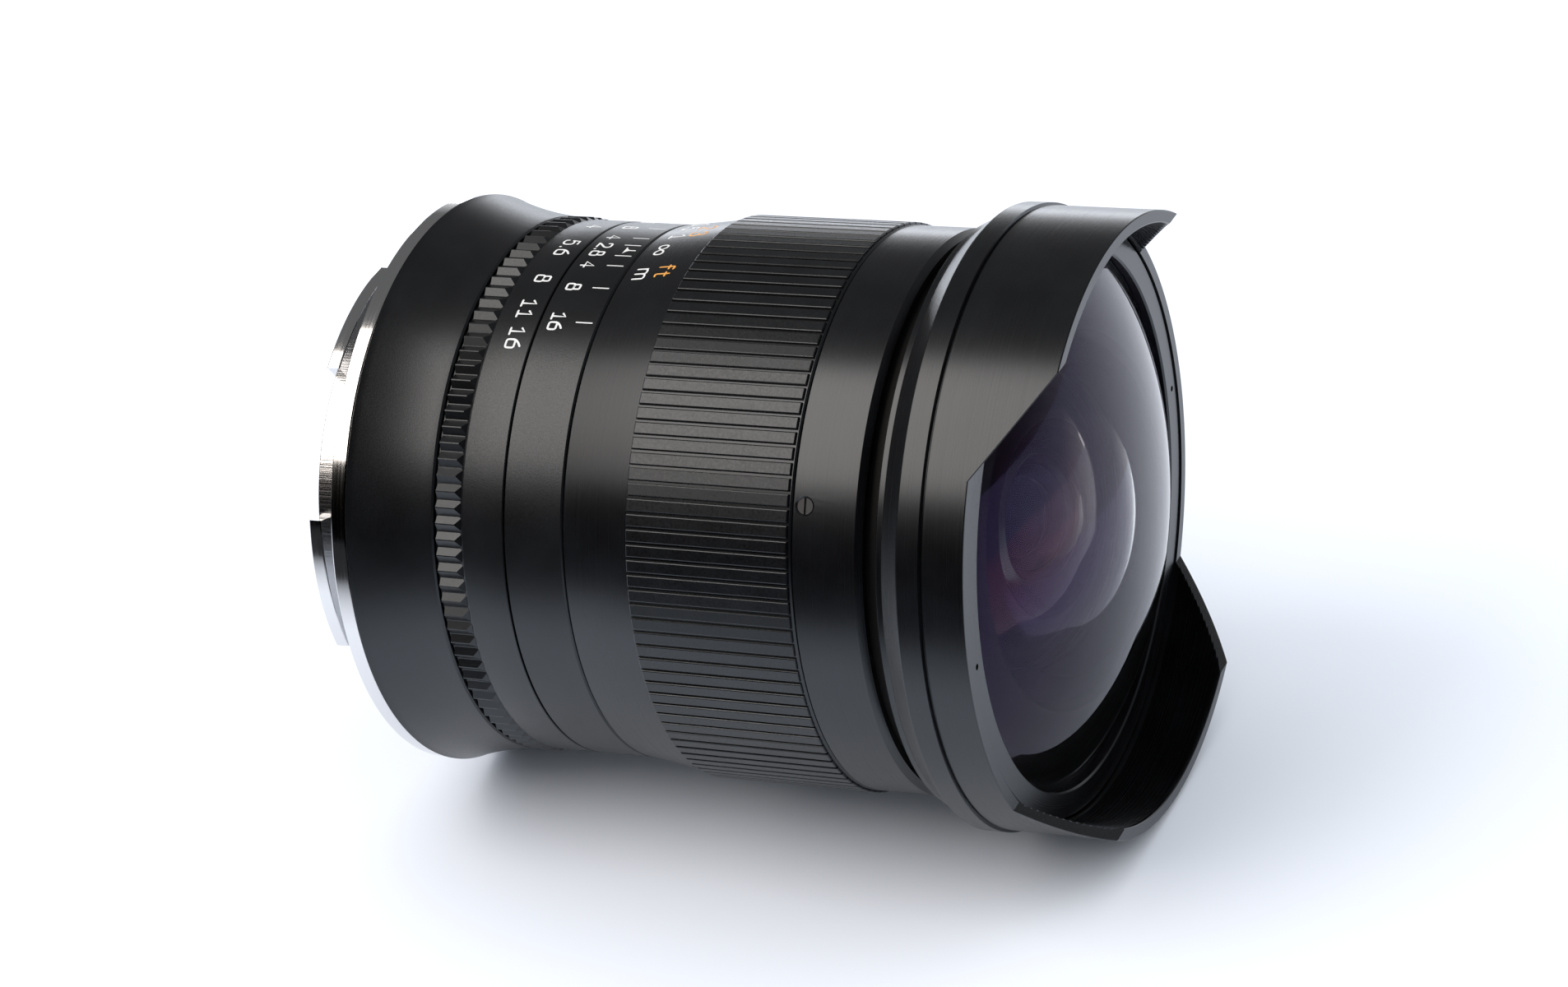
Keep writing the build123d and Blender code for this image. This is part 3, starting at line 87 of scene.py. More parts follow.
# Lens surfaces as (place of the vertex, radius of curvature), front to rear
SURFACES = [
    (83.8, 60.0), (80.8, 22.0), (72.5, 34.0), (70.7, 12.5), (60.5, -45.0), (59.0, 15.0),
    (51.5, -40.0), (48.0, 22.0), (42.0, -25.0), (40.5, 20.0), (34.5, -14.0), (33.0, 60.0),
    (23.8, -18.0), (22.4, 16.0), (17.4, -18.0), (16.4, 30.0), (11.5, -16.0), (10.0, -40.0)]
CEMENT_GAP = 0.01
# node, front surface, rear surface, edge radius, clear radius of the rear, is it cemented in front
ELEMENTS = [
    ("front_element", 0, 1, 31.2, 19.0, False),
    ("lens_element_2", 2, 3, 19.5, 11.2, False),
    ("lens_element_3", 4, 5, 11.5, 10.5, False),
    ("lens_element_4", 5, 6, 10.5, 10.5, True),
    ("lens_element_5", 7, 8, 9.5, 9.5, False),
    ("lens_element_6", 9, 10, 8.5, 8.5, False),
    ("lens_element_7", 10, 11, 8.5, 8.5, True),
    ("lens_element_8", 12, 13, 7.5, 7.5, False),
    ("lens_element_9", 13, 14, 7.5, 7.5, True),
    ("lens_element_10", 15, 16, 8.5, 8.5, False),
    ("lens_element_11", 16, 17, 8.5, 8.5, True)]


def oval(bottom, middle, top, inset=0.0):
    """A closed stroke as wide as a figure, less an inset on each side."""
    left, right = inset, 0.62 - inset
    return "loop", [(0.31, top), (right - 0.02, top), (right, middle), (right - 0.02, bottom),
                    (0.31, bottom), (left + 0.02, bottom), (left, middle), (left + 0.02, top)]


# Glyphs of the engraved scales, one unit high: strokes as (kind, points), where a line has
# straight runs, a bow is a smooth stroke and a loop is a closed smooth stroke.
GLYPHS = {
    "0": (0.62, [oval(0, 0.5, 1)]),
    "1": (0.5, [("line", [(0.02, 0.76), (0.28, 1), (0.28, 0)]), ("line", [(0.04, 0), (0.52, 0)])]),
    "2": (0.62, [("bow", [(0.02, 0.72), (0.0, 1.02), (0.6, 1.04), (0.66, 0.6), (0.3, 0.32), (0.0, 0.0)]),
                 ("line", [(0.0, 0.0), (0.62, 0.0)])]),
    "3": (0.6, [("bow", [(0.02, 0.8), (0.04, 1.03), (0.56, 1.03), (0.6, 0.56), (0.22, 0.54)]),
                ("bow", [(0.22, 0.54), (0.64, 0.56), (0.66, -0.03), (0.02, -0.03), (0.0, 0.22)])]),
    "4": (0.66, [("line", [(0.46, 0.0), (0.46, 1.0), (0.0, 0.3), (0.66, 0.3)])]),
    "5": (0.6, [("line", [(0.54, 1.0), (0.1, 1.0), (0.05, 0.52)]),
                ("bow", [(0.05, 0.52), (0.16, 0.66), (0.62, 0.7), (0.64, -0.03), (0.04, -0.05),
                         (0.0, 0.2)])]),
    "6": (0.62, [("bow", [(0.48, 1.0), (0.2, 0.82), (0.0, 0.56), (0.0, 0.3)]), oval(0, 0.3, 0.6)]),
    "7": (0.6, [("line", [(0.0, 1.0), (0.6, 1.0), (0.2, 0.0)])]),
    "8": (0.62, [oval(0.55, 0.78, 1, 0.07), oval(0, 0.28, 0.55)]),
    ".": (0.06, [("line", [(0.03, 0.0), (0.03, 0.06)])]),
    "m": (1.0, [("line", [(0.0, 0.0), (0.0, 0.68)]),
                ("bow", [(0.0, 0.45), (0.06, 0.72), (0.5, 0.74), (0.5, 0.42), (0.5, 0.0)]),
                ("bow", [(0.5, 0.45), (0.56, 0.72), (1.0, 0.74), (1.0, 0.42), (1.0, 0.0)])]),
    "f": (0.4, [("bow", [(0.42, 0.98), (0.15, 1.06), (0.15, 0.72), (0.15, 0.0)]),
                ("line", [(0.0, 0.66), (0.38, 0.66)])]),
    "t": (0.4, [("bow", [(0.15, 0.92), (0.15, 0.3), (0.16, -0.03), (0.4, 0.02)]),
                ("line", [(0.0, 0.66), (0.38, 0.66)])]),
    "infinity": (1.3, [("loop", [(0.65, 0.36), (0.9, 0.66), (1.3, 0.62), (1.3, 0.1), (0.9, 0.06),
                                 (0.65, 0.36), (0.4, 0.66), (0.0, 0.62), (0.0, 0.1), (0.4, 0.06)])]),
}


def linear(text):
    """An sRGB hex colour as linear red, green and blue."""
    parts = [int(text[start:start + 2], 16) / 255 for start in (1, 3, 5)]
    return [part / 12.92 if part <= 0.04045 else ((part + 0.055) / 1.055) ** 2.4 for part in parts]


def length(label, meaning, value):
    """A size that a user may change, kept in metres and given here in millimetres."""
    return bpy.props.FloatProperty(name=label, description=meaning, default=value * MM, unit="LENGTH",
                                   precision=5, min=0.0)


def tint(label, meaning, text):
    """A colour that a user may change."""
    return bpy.props.FloatVectorProperty(name=label, description=meaning, default=linear(text),
                                         subtype="COLOR", size=3, min=0.0, max=1.0)


class LensSizes(bpy.types.PropertyGroup):
    mount_radius: length("Mount radius", "Outer radius of the chromed flange", 33.3)
    pilot_radius: length("Pilot radius", "Radius of the step that enters the camera", 27.4)
    bayonet_radius: length("Bayonet radius", "Outer radius of the bayonet's tube", 25.4)
    lug_radius: length("Lug radius", "Outer radius of the three lugs", 27.6)
    throat_radius: length("Throat radius", "Inner radius of the bayonet's tube", 22.5)
    barrel_rear_radius: length("Rear barrel, rear radius", "Radius where the barrel meets the mount", 33.4)
    barrel_front_radius: length("Rear barrel, front radius", "Radius where it meets the aperture ring", 31.26)
    barrel_hollow: length("Rear barrel hollow", "How far the flare curves in from a straight cone", 0.35)
    aperture_grip_radius: length("Aperture grip radius", "Radius over the teeth", 31.26)
    aperture_band_radius: length("Aperture band radius", "Radius under the aperture numbers", 30.97)
    scale_ring_radius: length("Scale ring radius", "Radius of the depth-of-field ring", 30.92)
    cone_radius: length("Focus cone radius", "Front radius of the cone under the distances", 32.0)
    grip_radius: length("Focus grip radius", "Radius over the ridges", 32.4)
    ridge_depth: length("Ridge depth", "Depth of the grooves between the ridges", 0.28)
    tooth_depth: length("Tooth depth", "Depth of the grooves between the aperture teeth", 0.5)
    front_barrel_radius: length("Front barrel radius", "Radius of the fixed front ring", 32.06)
    neck_radius: length("Neck radius", "Radius of the neck behind the hood", 30.4)
    hood_radius: length("Hood radius", "Radius of the hood's front part", 35.0)
    hood_rear_radius: length("Hood shoulder radius", "Radius of the hood's shoulder", 35.3)
    hood_bore: length("Hood bore", "Radius inside the hood over its light-trap teeth", 33.6)
    edge_break: length("Edge break", "Width of the small chamfers on turned edges", 0.12)
    stroke: length("Stroke", "Width of the engraved strokes", 0.25)
    tick_stroke: length("Tick stroke", "Width of the depth-of-field marks", 0.17)
    tick_length: length("Tick length", "Length of the depth-of-field marks", 1.95)
    distance_height: length("Distance height", "Height of the distance numbers", 1.88)
    depth_height: length("Depth-of-field height", "Height of the depth-of-field numbers", 1.65)
    stop_height: length("Aperture height", "Height of the aperture numbers", 1.8)
    paint_height: length("Paint height", "How far the engraving's paint stands proud", 0.02)


class LensColours(bpy.types.PropertyGroup):
    anodised: tint("Anodised black", "Dyed oxide on the outside of the barrel", "#060608")
    anodised_worn: tint("Anodised black, light", "Where the oxide is thinner or rubbed", "#0d0e11")
    inner_black: tint("Inner black", "Flat black lacquer on the inside", "#060607")
    chrome: tint("Chrome", "Chromed bayonet", "#d9dadc")
    steel: tint("Steel", "Screws, pins and springs", "#b8bbbf")
    brass: tint("Brass", "Cam ring and rollers", "#c9a55c")
    white_paint: tint("White paint", "Engraved marks and metric numbers", "#dcdee0")
    orange_paint: tint("Amber paint", "Engraved feet numbers", "#e0a04a")
    floor: tint("Floor", "Pale surface under the lens", "#e7eef9")


def millimetres(name):
    """A user's size in millimetres."""
    return getattr(bpy.context.scene.lens_sizes, name) / MM


def colour(name):
    """A user's colour by its name, or an sRGB hex colour."""
    parts = linear(name) if name.startswith("#") else getattr(bpy.context.scene.lens_colours, name)
    return (*parts, 1.0)


def add(tree, kind, inputs=None, **settings):
    """Add a shader node with its settings and what goes into its sockets.

    That is a value, another node's socket, or another node, which gives its first output.
    """
    node = tree.nodes.new("ShaderNode" + kind)
    for key, value in settings.items():
        setattr(node, key, value)
    for key, value in (inputs or {}).items():
        if isinstance(value, bpy.types.Node):
            value = value.outputs[0]
        if isinstance(value, bpy.types.NodeSocket):
            tree.links.new(value, node.inputs[key])
        else:
            node.inputs[key].default_value = value
    return node


def emptied(owner):
    """The node tree of a new material or world, with nothing in it."""
    owner.use_nodes = True
    owner.node_tree.nodes.clear()
    return owner.node_tree


def finish(name, painted_dark_reflection, light, roughness, grain, depth, turned=False, milled=0.0, patch=6.0, **sockets):
    """A material with fine grain in its surface and a soft, larger change of tone.

    grain is the size of the surface's texture, depth its height and patch the size of the change
    of tone, all in millimetres. On a turned surface the texture runs in rings about the axis, as
    the lathe leaves it. On a surface milled at a radius it runs along the axis.
    """
    material = bpy.data.materials.new(name)
    tree = emptied(material)
    place = add(tree, "TexCoord").outputs["Object"]
    pattern = place
    parts = add(tree, "SeparateXYZ", {"Vector": place}).outputs
    if milled:
        turn = add(tree, "Math", {0: parts["X"], 1: parts["Z"]}, operation="ARCTAN2")
        along_rim = add(tree, "Math", {0: turn, 1: milled * MM}, operation="MULTIPLY")
        pattern = add(tree, "CombineXYZ", {"X": along_rim})
    if turned:
        across = add(tree, "CombineXYZ", {"X": parts["X"], "Y": parts["Z"]})
        radius = add(tree, "VectorMath", {0: across}, operation="LENGTH").outputs["Value"]
        pattern = add(tree, "CombineXYZ", {"X": radius, "Y": parts["Y"]})
    fine = add(tree, "TexNoise", {
        "Vector": pattern, "Scale": 1 / (grain * MM), "Detail": 2.0, "Roughness": 0.6})
    broad = add(tree, "TexNoise", {
        "Vector": place, "Scale": 1 / (patch * MM), "Detail": 3.0, "Roughness": 0.55})
    tone = add(tree, "ValToRGB", {"Fac": broad})
    for stop, position, shade in zip(tone.color_ramp.elements, (0.35, 0.7), (painted_dark_reflection, light)):
        stop.position, stop.color = position, colour(shade)
    smoothest, roughest = roughness
    gloss = add(tree, "MapRange", {
        "Value": fine, "From Min": 0.3, "From Max": 0.7, "To Min": smoothest, "To Max": roughest})
    bump = add(tree, "Bump", {"Height": fine, "Distance": depth * MM, "Strength": 1.0})
    shader = add(tree, "BsdfPrincipled", {
        "Base Color": tone, "Roughness": gloss, "Normal": bump, **sockets})
    add(tree, "OutputMaterial", {"Surface": shader})
    return material


def coated_glass(name, reflection, index):
    """Polished optical glass whose coating leaves only a weak, coloured reflection."""
    material = bpy.data.materials.new(name)
    tree = emptied(material)
    place = add(tree, "TexCoord").outputs["Object"]
    # Faint dust and wiping marks, a few millimetres across
    haze = add(tree, "TexNoise", {"Vector": place, "Scale": 1 / (4 * MM), "Detail": 4.0})
    gloss = add(tree, "MapRange", {
        "Value": haze, "From Min": 0.4, "From Max": 0.8, "To Min": 0.0, "To Max": 0.012})
    shader = add(tree, "BsdfPrincipled", {
        "Base Color": (0.98, 0.985, 0.99, 1.0), "Roughness": gloss, "IOR": index,
        "Transmission Weight": 1.0, "Specular Tint": colour(reflection)})
    add(tree, "OutputMaterial", {"Surface": shader})
    return material


def make_finishes():
    """Every material, under the name that the operators use."""
    oxide = {"IOR": 1.6, "Specular Tint": (0.86, 0.93, 1.0, 1.0)}
    metal = {"Metallic": 1.0}
    made = [
        # Anodised aluminium, bead-blasted: matt grain of about 0.1 mm, drawn at 0.16 mm to show
        finish("anodised_aluminium_blasted", "anodised", "anodised_worn", (0.28, 0.37), 0.16, 0.006, **oxide),
        # Anodised aluminium, fine-turned: rings 0.05 mm apart, drawn at 0.12 mm, with a soft sheen
        finish("anodised_aluminium_turned", "anodised", "anodised_worn", (0.24, 0.28), 0.12, 0.0005,
               turned=True, **oxide),
        # Anodised aluminium, milled ridges: slightly smoother, with rubbed lighter patches
        finish("anodised_aluminium_milled", "anodised", "anodised_worn", (0.26, 0.36), 0.3, 0.002,
               patch=3.0, **oxide),
        # Flat black lacquer inside the cells: dead matt, so it sends back little
        finish("flat_black_lacquer", "inner_black", "inner_black", (0.62, 0.75), 0.2, 0.01,
               **{"IOR": 1.5, "Specular IOR Level": 0.25}),
        # Chromed brass, polished and fine-turned: mirror-like with faint rings
        finish("chromed_brass", "chrome", "chrome", (0.07, 0.15), 0.25, 0.001, turned=True, patch=12.0,
               **metal),
        # Chromed brass whose tube was milled: fine marks along the axis, about 0.3 mm apart
        finish("chromed_brass_milled", "chrome", "chrome", (0.14, 0.26), 0.3, 0.03, milled=25.4, patch=12.0,
               **metal),
        # Stainless steel of screws and pins: bright, with machining grain
        finish("stainless_steel", "steel", "steel", (0.22, 0.34), 0.1, 0.002, **metal),
        # Blackened steel screws: thin black oxide with an oily sheen
        finish("blackened_steel", "#17171a", "#242428", (0.3, 0.42), 0.1, 0.003, IOR=1.7),
        # Turned brass: golden, with fine rings
        finish("turned_brass", "brass", "brass", (0.2, 0.32), 0.15, 0.002, turned=True, **metal),
        # Spring steel leaves with a dry black coating
        finish("blackened_spring_steel", "#151517", "#1e1e21", (0.35, 0.5), 0.08, 0.001, IOR=1.7),
        # Pressed sheet with flat black paint
        finish("painted_baffle", "inner_black", "#151518", (0.5, 0.65), 0.12, 0.006, IOR=1.5),
        # Moulded black nitrile rubber: dull, slightly grey
        finish("nitrile_rubber", "#101010", "#191919", (0.7, 0.85), 0.3, 0.01, IOR=1.52),
        # Enamel in the engraving: slightly uneven, semi-gloss
        finish("white_enamel", "#cfd2d4", "white_paint", (0.35, 0.5), 0.25, 0.004, patch=2.0, IOR=1.5),
        finish("amber_enamel", "#c98a3a", "orange_paint", (0.35, 0.5), 0.25, 0.004, patch=2.0, IOR=1.5),
        # Polished optical crown and flint, each with the colour that its coating sends back
        coated_glass("front_crown_glass", "#663ca4", 1.52),
        coated_glass("flint_glass_magenta", "#731228", 1.72),
        coated_glass("flint_glass_amber", "#7e2a12", 1.7),
        coated_glass("crown_glass_blue", "#242c64", 1.6),
        coated_glass("crown_glass_green", "#224a30", 1.6),
    ]
    return {material.name: material for material in made}


FINISHES = {}


def dress(piece, *names):
    """Give a piece its materials, in the order of its faces' material numbers."""
    if not FINISHES:
        FINISHES.update(make_finishes())
    # Clearing the list sets every face's number to 0, so the numbers are kept and put back.
    numbers = [face.material_index for face in piece.data.polygons]
    piece.data.materials.clear()
    for name in names:
        piece.data.materials.append(FINISHES[name])
    piece.data.polygons.foreach_set("material_index", numbers)


def smooth(mesh):
    """Shade a mesh smooth except over real edges."""
    mesh.shade_smooth()
    mesh.set_sharp_from_angle(angle=SHARP_ANGLE)


def as_object(name, bm, clean=True):
    """A finished mesh as an object of the scene."""
    if clean:
        bmesh.ops.remove_doubles(bm, verts=bm.verts[:], dist=0.0005 * MM)
        bmesh.ops.recalc_face_normals(bm, faces=bm.faces[:])
    mesh = bpy.data.meshes.new(name)
    bm.to_mesh(mesh)
    bm.free()
    smooth(mesh)
    piece = bpy.data.objects.new(name, mesh)
    bpy.context.scene.collection.objects.link(piece)
    return piece


def chamfer(bm, parts, width, affect="EDGES"):
    """Break edges or corners with two narrow faces."""
    bmesh.ops.bevel(bm, geom=parts, offset=width * MM, offset_type="OFFSET", segments=2, profile=0.5,
                    affect=affect, clamp_overlap=True, material=-1)


def block(bm, corners, vec):
    """Draw an outline out into a closed block and give the block's far corners."""
    outline = bm.faces.new([bm.verts.new(Vector(corner) * MM) for corner in corners])
    drawn = bmesh.ops.extrude_face_region(bm, geom=[outline])["geom"]
    far = [part for part in drawn if isinstance(part, bmesh.types.BMVert)]
    bmesh.ops.translate(bm, verts=far, vec=Vector(vec) * MM)
    return far


def spin(bm, angle, steps, **choice):
    """Turn a mesh about the axis, as a surface or as copies."""
    bmesh.ops.spin(bm, geom=bm.faces[:] + bm.edges[:] + bm.verts[:], cent=(0, 0, 0), axis=(0, -1, 0),
                   angle=angle, steps=steps, **choice)


def spun(corners, steps=FINE_STEPS, rounding=0.0, turn=360.0, start=0.0):
    """A mesh from an outline turned about the axis, its corners broken by small chamfers."""
    bm = bmesh.new()
    points = [bm.verts.new((0.0, -place * MM, radius * MM)) for radius, place in corners]
    section = bm.faces.new(points)
    if rounding:
        chamfer(bm, section.verts[:], rounding, "VERTICES")
    begin = Matrix.Rotation(math.radians(-start), 3, "Y")
    bmesh.ops.rotate(bm, verts=bm.verts[:], cent=(0, 0, 0), matrix=begin)
    closed = turn == 360
    if closed:
        bmesh.ops.delete(bm, geom=bm.faces[:], context="FACES_ONLY")
    spin(bm, math.radians(turn), steps, use_merge=closed)
    return bm


def around(bm, count):
    """Repeat everything in a mesh evenly about the axis."""
    spin(bm, math.tau * (count - 1) / count, count - 1, use_duplicate=True)


def rod(bm, radius, start, end, segments=SMALL_STEPS, end_radius=None):
    """A closed round rod or cone between two points in millimetres."""
    start, end = Vector(start) * MM, Vector(end) * MM
    axis = end - start
    matrix = Matrix.Translation((start + end) / 2) @ axis.to_track_quat("Z", "Y").to_matrix().to_4x4()
    bmesh.ops.create_cone(bm, cap_ends=True, segments=segments, radius1=radius * MM,
                          radius2=(end_radius or radius) * MM, depth=axis.length, matrix=matrix)


def on_ring(radius, angle, place):
    """A point in millimetres at a radius, an angle of the scales and a place along the axis."""
    turn = math.radians(angle)
    return (-radius * math.sin(turn), -place, radius * math.cos(turn))


def radius_of(point):
    """A point's distance from the axis in millimetres."""
    return math.hypot(point.x, point.z) / MM


def angle_of(point):
    """A point's angle on the scales."""
    return math.degrees(math.atan2(-point.x, point.z))


def cut(piece, bm):
    """Take a closed mesh out of a piece."""
    cutter = as_object("cutter", bm, clean=False)
    modifier = piece.modifiers.new("cut", "BOOLEAN")
    modifier.operation = "DIFFERENCE"
    modifier.solver = "EXACT"
    modifier.object = cutter
    graph = bpy.context.evaluated_depsgraph_get()
    mesh = bpy.data.meshes.new_from_object(piece.evaluated_get(graph))
    piece.modifiers.clear()
    piece.data = mesh
    smooth(mesh)
    bpy.data.objects.remove(cutter)


def drill(piece, angles, radius, start, end, segments=SMALL_STEPS, end_radius=None):
    """Cut a round hole at each angle, from one (radius, place) to another."""
    holes = bmesh.new()
    for angle in angles:
        rod(holes, radius, on_ring(start[0], angle, start[1]), on_ring(end[0], angle, end[1]), segments,
            end_radius)
    cut(piece, holes)


def merge(whole, bm):
    """Put a mesh into another one."""
    extra = bpy.data.meshes.new("extra")
    bm.to_mesh(extra)
    bm.free()
    whole.from_mesh(extra)
    bpy.data.meshes.remove(extra)


def join(piece, bm):
    """Add another closed mesh to a piece."""
    whole = bmesh.new()
    whole.from_mesh(piece.data)
    bmesh.ops.recalc_face_normals(bm, faces=bm.faces[:])
    merge(whole, bm)
    whole.to_mesh(piece.data)
    whole.free()
    smooth(piece.data)


def settle(piece, body, slot, *nodes):
    """Tie a finished piece to its body and hide the CAD nodes that it stands for. The slot is not used."""
    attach(piece, body)
    if nodes:
        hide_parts(*nodes)


def ring(name, corners, body, material="anodised_aluminium_turned", slot="black_anodised", rounding=0.0):
    """A turned piece that stands for the CAD node of its name."""
    piece = as_object(name + "_turned", spun(corners, rounding=rounding))
    dress(piece, material)
    settle(piece, body, slot, name)
    return piece


def sag(surface, radius):
    """The place of a lens surface at a radius."""
    vertex, curve = surface
    return vertex - math.copysign(abs(curve) - math.sqrt(curve ** 2 - radius ** 2), curve)


def arc(surface, start, end, count):
    """Outline corners along a lens surface."""
    radii = [start + (end - start) * index / count for index in range(count + 1)]
    return [(radius, sag(surface, radius)) for radius in radii]


class LensMount(bpy.types.Operator):
    """Chromed bayonet with its step, tube, three lugs and screw holes"""
    bl_idname = "lens.mount"
    bl_label = "Bayonet mount"

    def execute(self, context):
        rear, lug_front, pilot_rear, lip_rear, front = -6.2, -4.6, -1.3, 0.4, 1.8
        throat, tube = millimetres("throat_radius"), millimetres("bayonet_radius")
        pilot, flange = millimetres("pilot_radius"), millimetres("mount_radius")
        lug, bore, screw_circle, sunk = millimetres("lug_radius"), 20.0, 28.6, 0.2
        piece = ring("mount_flange", [
            (throat, rear), (tube, rear), (tube, pilot_rear), (pilot, pilot_rear), (pilot, 0.0),
            (flange, 0.0), (flange, front), (bore, front), (bore, lip_rear), (throat, lip_rear)],
            "barrel", "chromed_brass", "bayonet_chrome", millimetres("edge_break"))
        # The screws' seats and their holes, as (radius, from, to)
        for radius, behind, ahead in ((1.52, -0.5, 1.17), (0.92, 1.0, 3.0)):
            drill(piece, (45, 135, 225, 315), radius, (screw_circle, behind), (screw_circle, ahead))
        # The lugs come last and are only joined, because they overlap the tube.
        outline = [(tube - sunk, rear), (lug, rear), (lug, lug_front), (tube - sunk, lug_front)]
        for start, end in ((2.0, 36.0), (73.0, 108.0), (194.0, 232.0)):
            join(piece, spun(outline, 32, 0.15, end - start, start))
        for face in piece.data.polygons:
            on_tube = abs(radius_of(face.center) - tube) < 0.05
            if on_tube and rear < -face.center.y / MM < pilot_rear - 0.05:
                face.material_index = 1
        dress(piece, "chromed_brass", "chromed_brass_milled")
        return {"FINISHED"}


class LensRearBarrel(bpy.types.Operator):
    """Flared ring between the mount and the aperture ring"""
    bl_idname = "lens.rear_barrel"
    bl_label = "Rear barrel"

    def execute(self, context):
        rear, front = millimetres("barrel_rear_radius"), millimetres("barrel_front_radius")
        hollow, wide_bore, web_rear, steps = millimetres("barrel_hollow"), 30.02, 4.0, 20
        flare = []
        for index in range(steps + 1):
            share = index / steps
            radius = rear + (front - rear) * share - hollow * 4 * share * (1 - share)
            flare.append((radius, REAR_BARREL_REAR + (REAR_BARREL_FRONT - REAR_BARREL_REAR) * share))
        # The flare's own points stay as they are, and only its two ends get a chamfer.
        flare = [(rear - 0.15, REAR_BARREL_REAR), (flare[0][0], REAR_BARREL_REAR + 0.15), *flare[1:-1],
                 (front, REAR_BARREL_FRONT - 0.2), (front - 0.2, REAR_BARREL_FRONT)]
        ring("rear_barrel", [
            *flare, (TUBE_BORE, REAR_BARREL_FRONT), (TUBE_BORE, web_rear), (wide_bore, web_rear),
            (wide_bore, REAR_BARREL_REAR)],
            "barrel", "anodised_aluminium_blasted")
        return {"FINISHED"}


class LensApertureRing(bpy.types.Operator):
    """Turning ring with a toothed grip and a plain band for its numbers"""
    bl_idname = "lens.aperture_ring"
    bl_label = "Aperture ring"

    def execute(self, context):
        band, grip = millimetres("aperture_band_radius"), millimetres("aperture_grip_radius")
        root = grip - millimetres("tooth_depth")
        bore, shell, slope, teeth = 26.05, 29.0, 0.35, 108
        piece = ring("aperture_ring", [
            (bore, APERTURE_REAR), (root, APERTURE_REAR), (root, APERTURE_GRIP_FRONT - slope),
            (band, APERTURE_GRIP_FRONT), (band, APERTURE_FRONT), (shell, APERTURE_FRONT),
            (shell, APERTURE_WEB_FRONT), (bore, APERTURE_WEB_FRONT)],
            "aperture_ring", "anodised_aluminium_blasted", rounding=millimetres("edge_break"))
        tooth = self.tooth(360 / teeth, root, grip)
        around(tooth, teeth)
        bmesh.ops.remove_doubles(tooth, verts=tooth.verts[:], dist=0.002 * MM)
        join(piece, tooth)
        dress(piece, "anodised_aluminium_blasted")
        return {"FINISHED"}

    def tooth(self, pitch, root, crest):
        """One V-shaped tooth from valley to valley, its top cut off by a slant at the front."""
        rear, slant, sunk, half_valley, half_crest = 12.15, 0.8, 0.1, 0.05, 0.06
        valley, edge = root + 0.01, pitch / 2
        half = [(edge, root - sunk), (edge, valley), (edge - math.degrees(half_valley / valley), valley),
                (math.degrees(half_crest / crest), crest)]
        outline = [(-turn, radius) for turn, radius in half] + half[::-1]
        bm = bmesh.new()
        front = block(bm, [on_ring(radius, turn, rear) for turn, radius in outline],
                      (0, rear - APERTURE_GRIP_FRONT, 0))
        # The walls between neighbours go, so that the teeth close into one ring.
        for side in (-edge, edge):
            wall = [face for face in bm.faces
                    if all(abs(angle_of(vert.co) - side) < 0.001 for vert in face.verts)]
            bmesh.ops.delete(bm, geom=wall, context="FACES")
        top = [vert for vert in front if radius_of(vert.co) > crest - 0.05]
        bmesh.ops.translate(bm, verts=top, vec=(0, slant * MM, 0))
        # The slanted front bends at the tooth's foot.
        low = [vert for vert in front if abs(radius_of(vert.co) - valley) < 0.005]
        foot = [vert for vert in low if abs(angle_of(vert.co)) < edge - 0.01]
        bmesh.ops.connect_verts(bm, verts=foot)
        return bm


class LensScaleRing(bpy.types.Operator):
    """Fixed ring that carries the depth-of-field scale"""
    bl_idname = "lens.scale_ring"
    bl_label = "Depth-of-field ring"

    def execute(self, context):
        outer, edge = millimetres("scale_ring_radius"), 0.2
        bore, web_rear, web_front = 28.2, 21.5, 24.0
        ring("dof_scale_ring", [
            (bore, SCALE_REAR), (outer - edge, SCALE_REAR), (outer, SCALE_REAR + edge),
            (outer, SCALE_FRONT - edge), (outer - edge, SCALE_FRONT), (bore, SCALE_FRONT),
            (bore, web_front), (TUBE_BORE, web_front), (TUBE_BORE, web_rear), (bore, web_rear)],
            "barrel", "anodised_aluminium_blasted")
        return {"FINISHED"}


class LensFocusRing(bpy.types.Operator):
    """Turning ring: a cone under the distance scale and a grip with straight ridges"""
    bl_idname = "lens.focus_ring"
    bl_label = "Focus ring"

    def execute(self, context):
        rear_radius, cone = millimetres("scale_ring_radius"), millimetres("cone_radius")
        outer = millimetres("grip_radius")
        root, edge = outer - millimetres("ridge_depth"), 0.2
        bore, front_bore, web_front = 28.02, 30.52, 52.5
        piece = ring("focus_ring", [
            (bore, FOCUS_REAR), (rear_radius - edge, FOCUS_REAR), (rear_radius, FOCUS_REAR + edge),
            (cone, CONE_FRONT), (root, CONE_FRONT + 0.02), (root, GRIP_FRONT - edge),
            (root - edge, GRIP_FRONT), (front_bore, GRIP_FRONT), (front_bore, web_front), (bore, web_front)],
            "focus_ring")
        ridges, width_share = 120, 0.82
        width = width_share * math.tau * outer / ridges
        rear, front, low = CONE_FRONT, GRIP_FRONT - 0.35, root - 0.2
        ridge = bmesh.new()
        bmesh.ops.create_cube(ridge, size=1.0)
        bmesh.ops.scale(ridge, verts=ridge.verts[:],
                        vec=(width * MM, (front - rear) * MM, (outer - low) * MM))
        bmesh.ops.translate(ridge, verts=ridge.verts[:],
                            vec=(0, -(rear + front) / 2 * MM, (low + outer) / 2 * MM))
        edges = [edge for edge in ridge.edges if min(v.co.z for v in edge.verts) > root * MM]
        chamfer(ridge, edges, 0.13)
        for face in ridge.faces:
            face.material_index = 1
        around(ridge, ridges)
        join(piece, ridge)
        dress(piece, "anodised_aluminium_turned", "anodised_aluminium_milled")
        return {"FINISHED"}


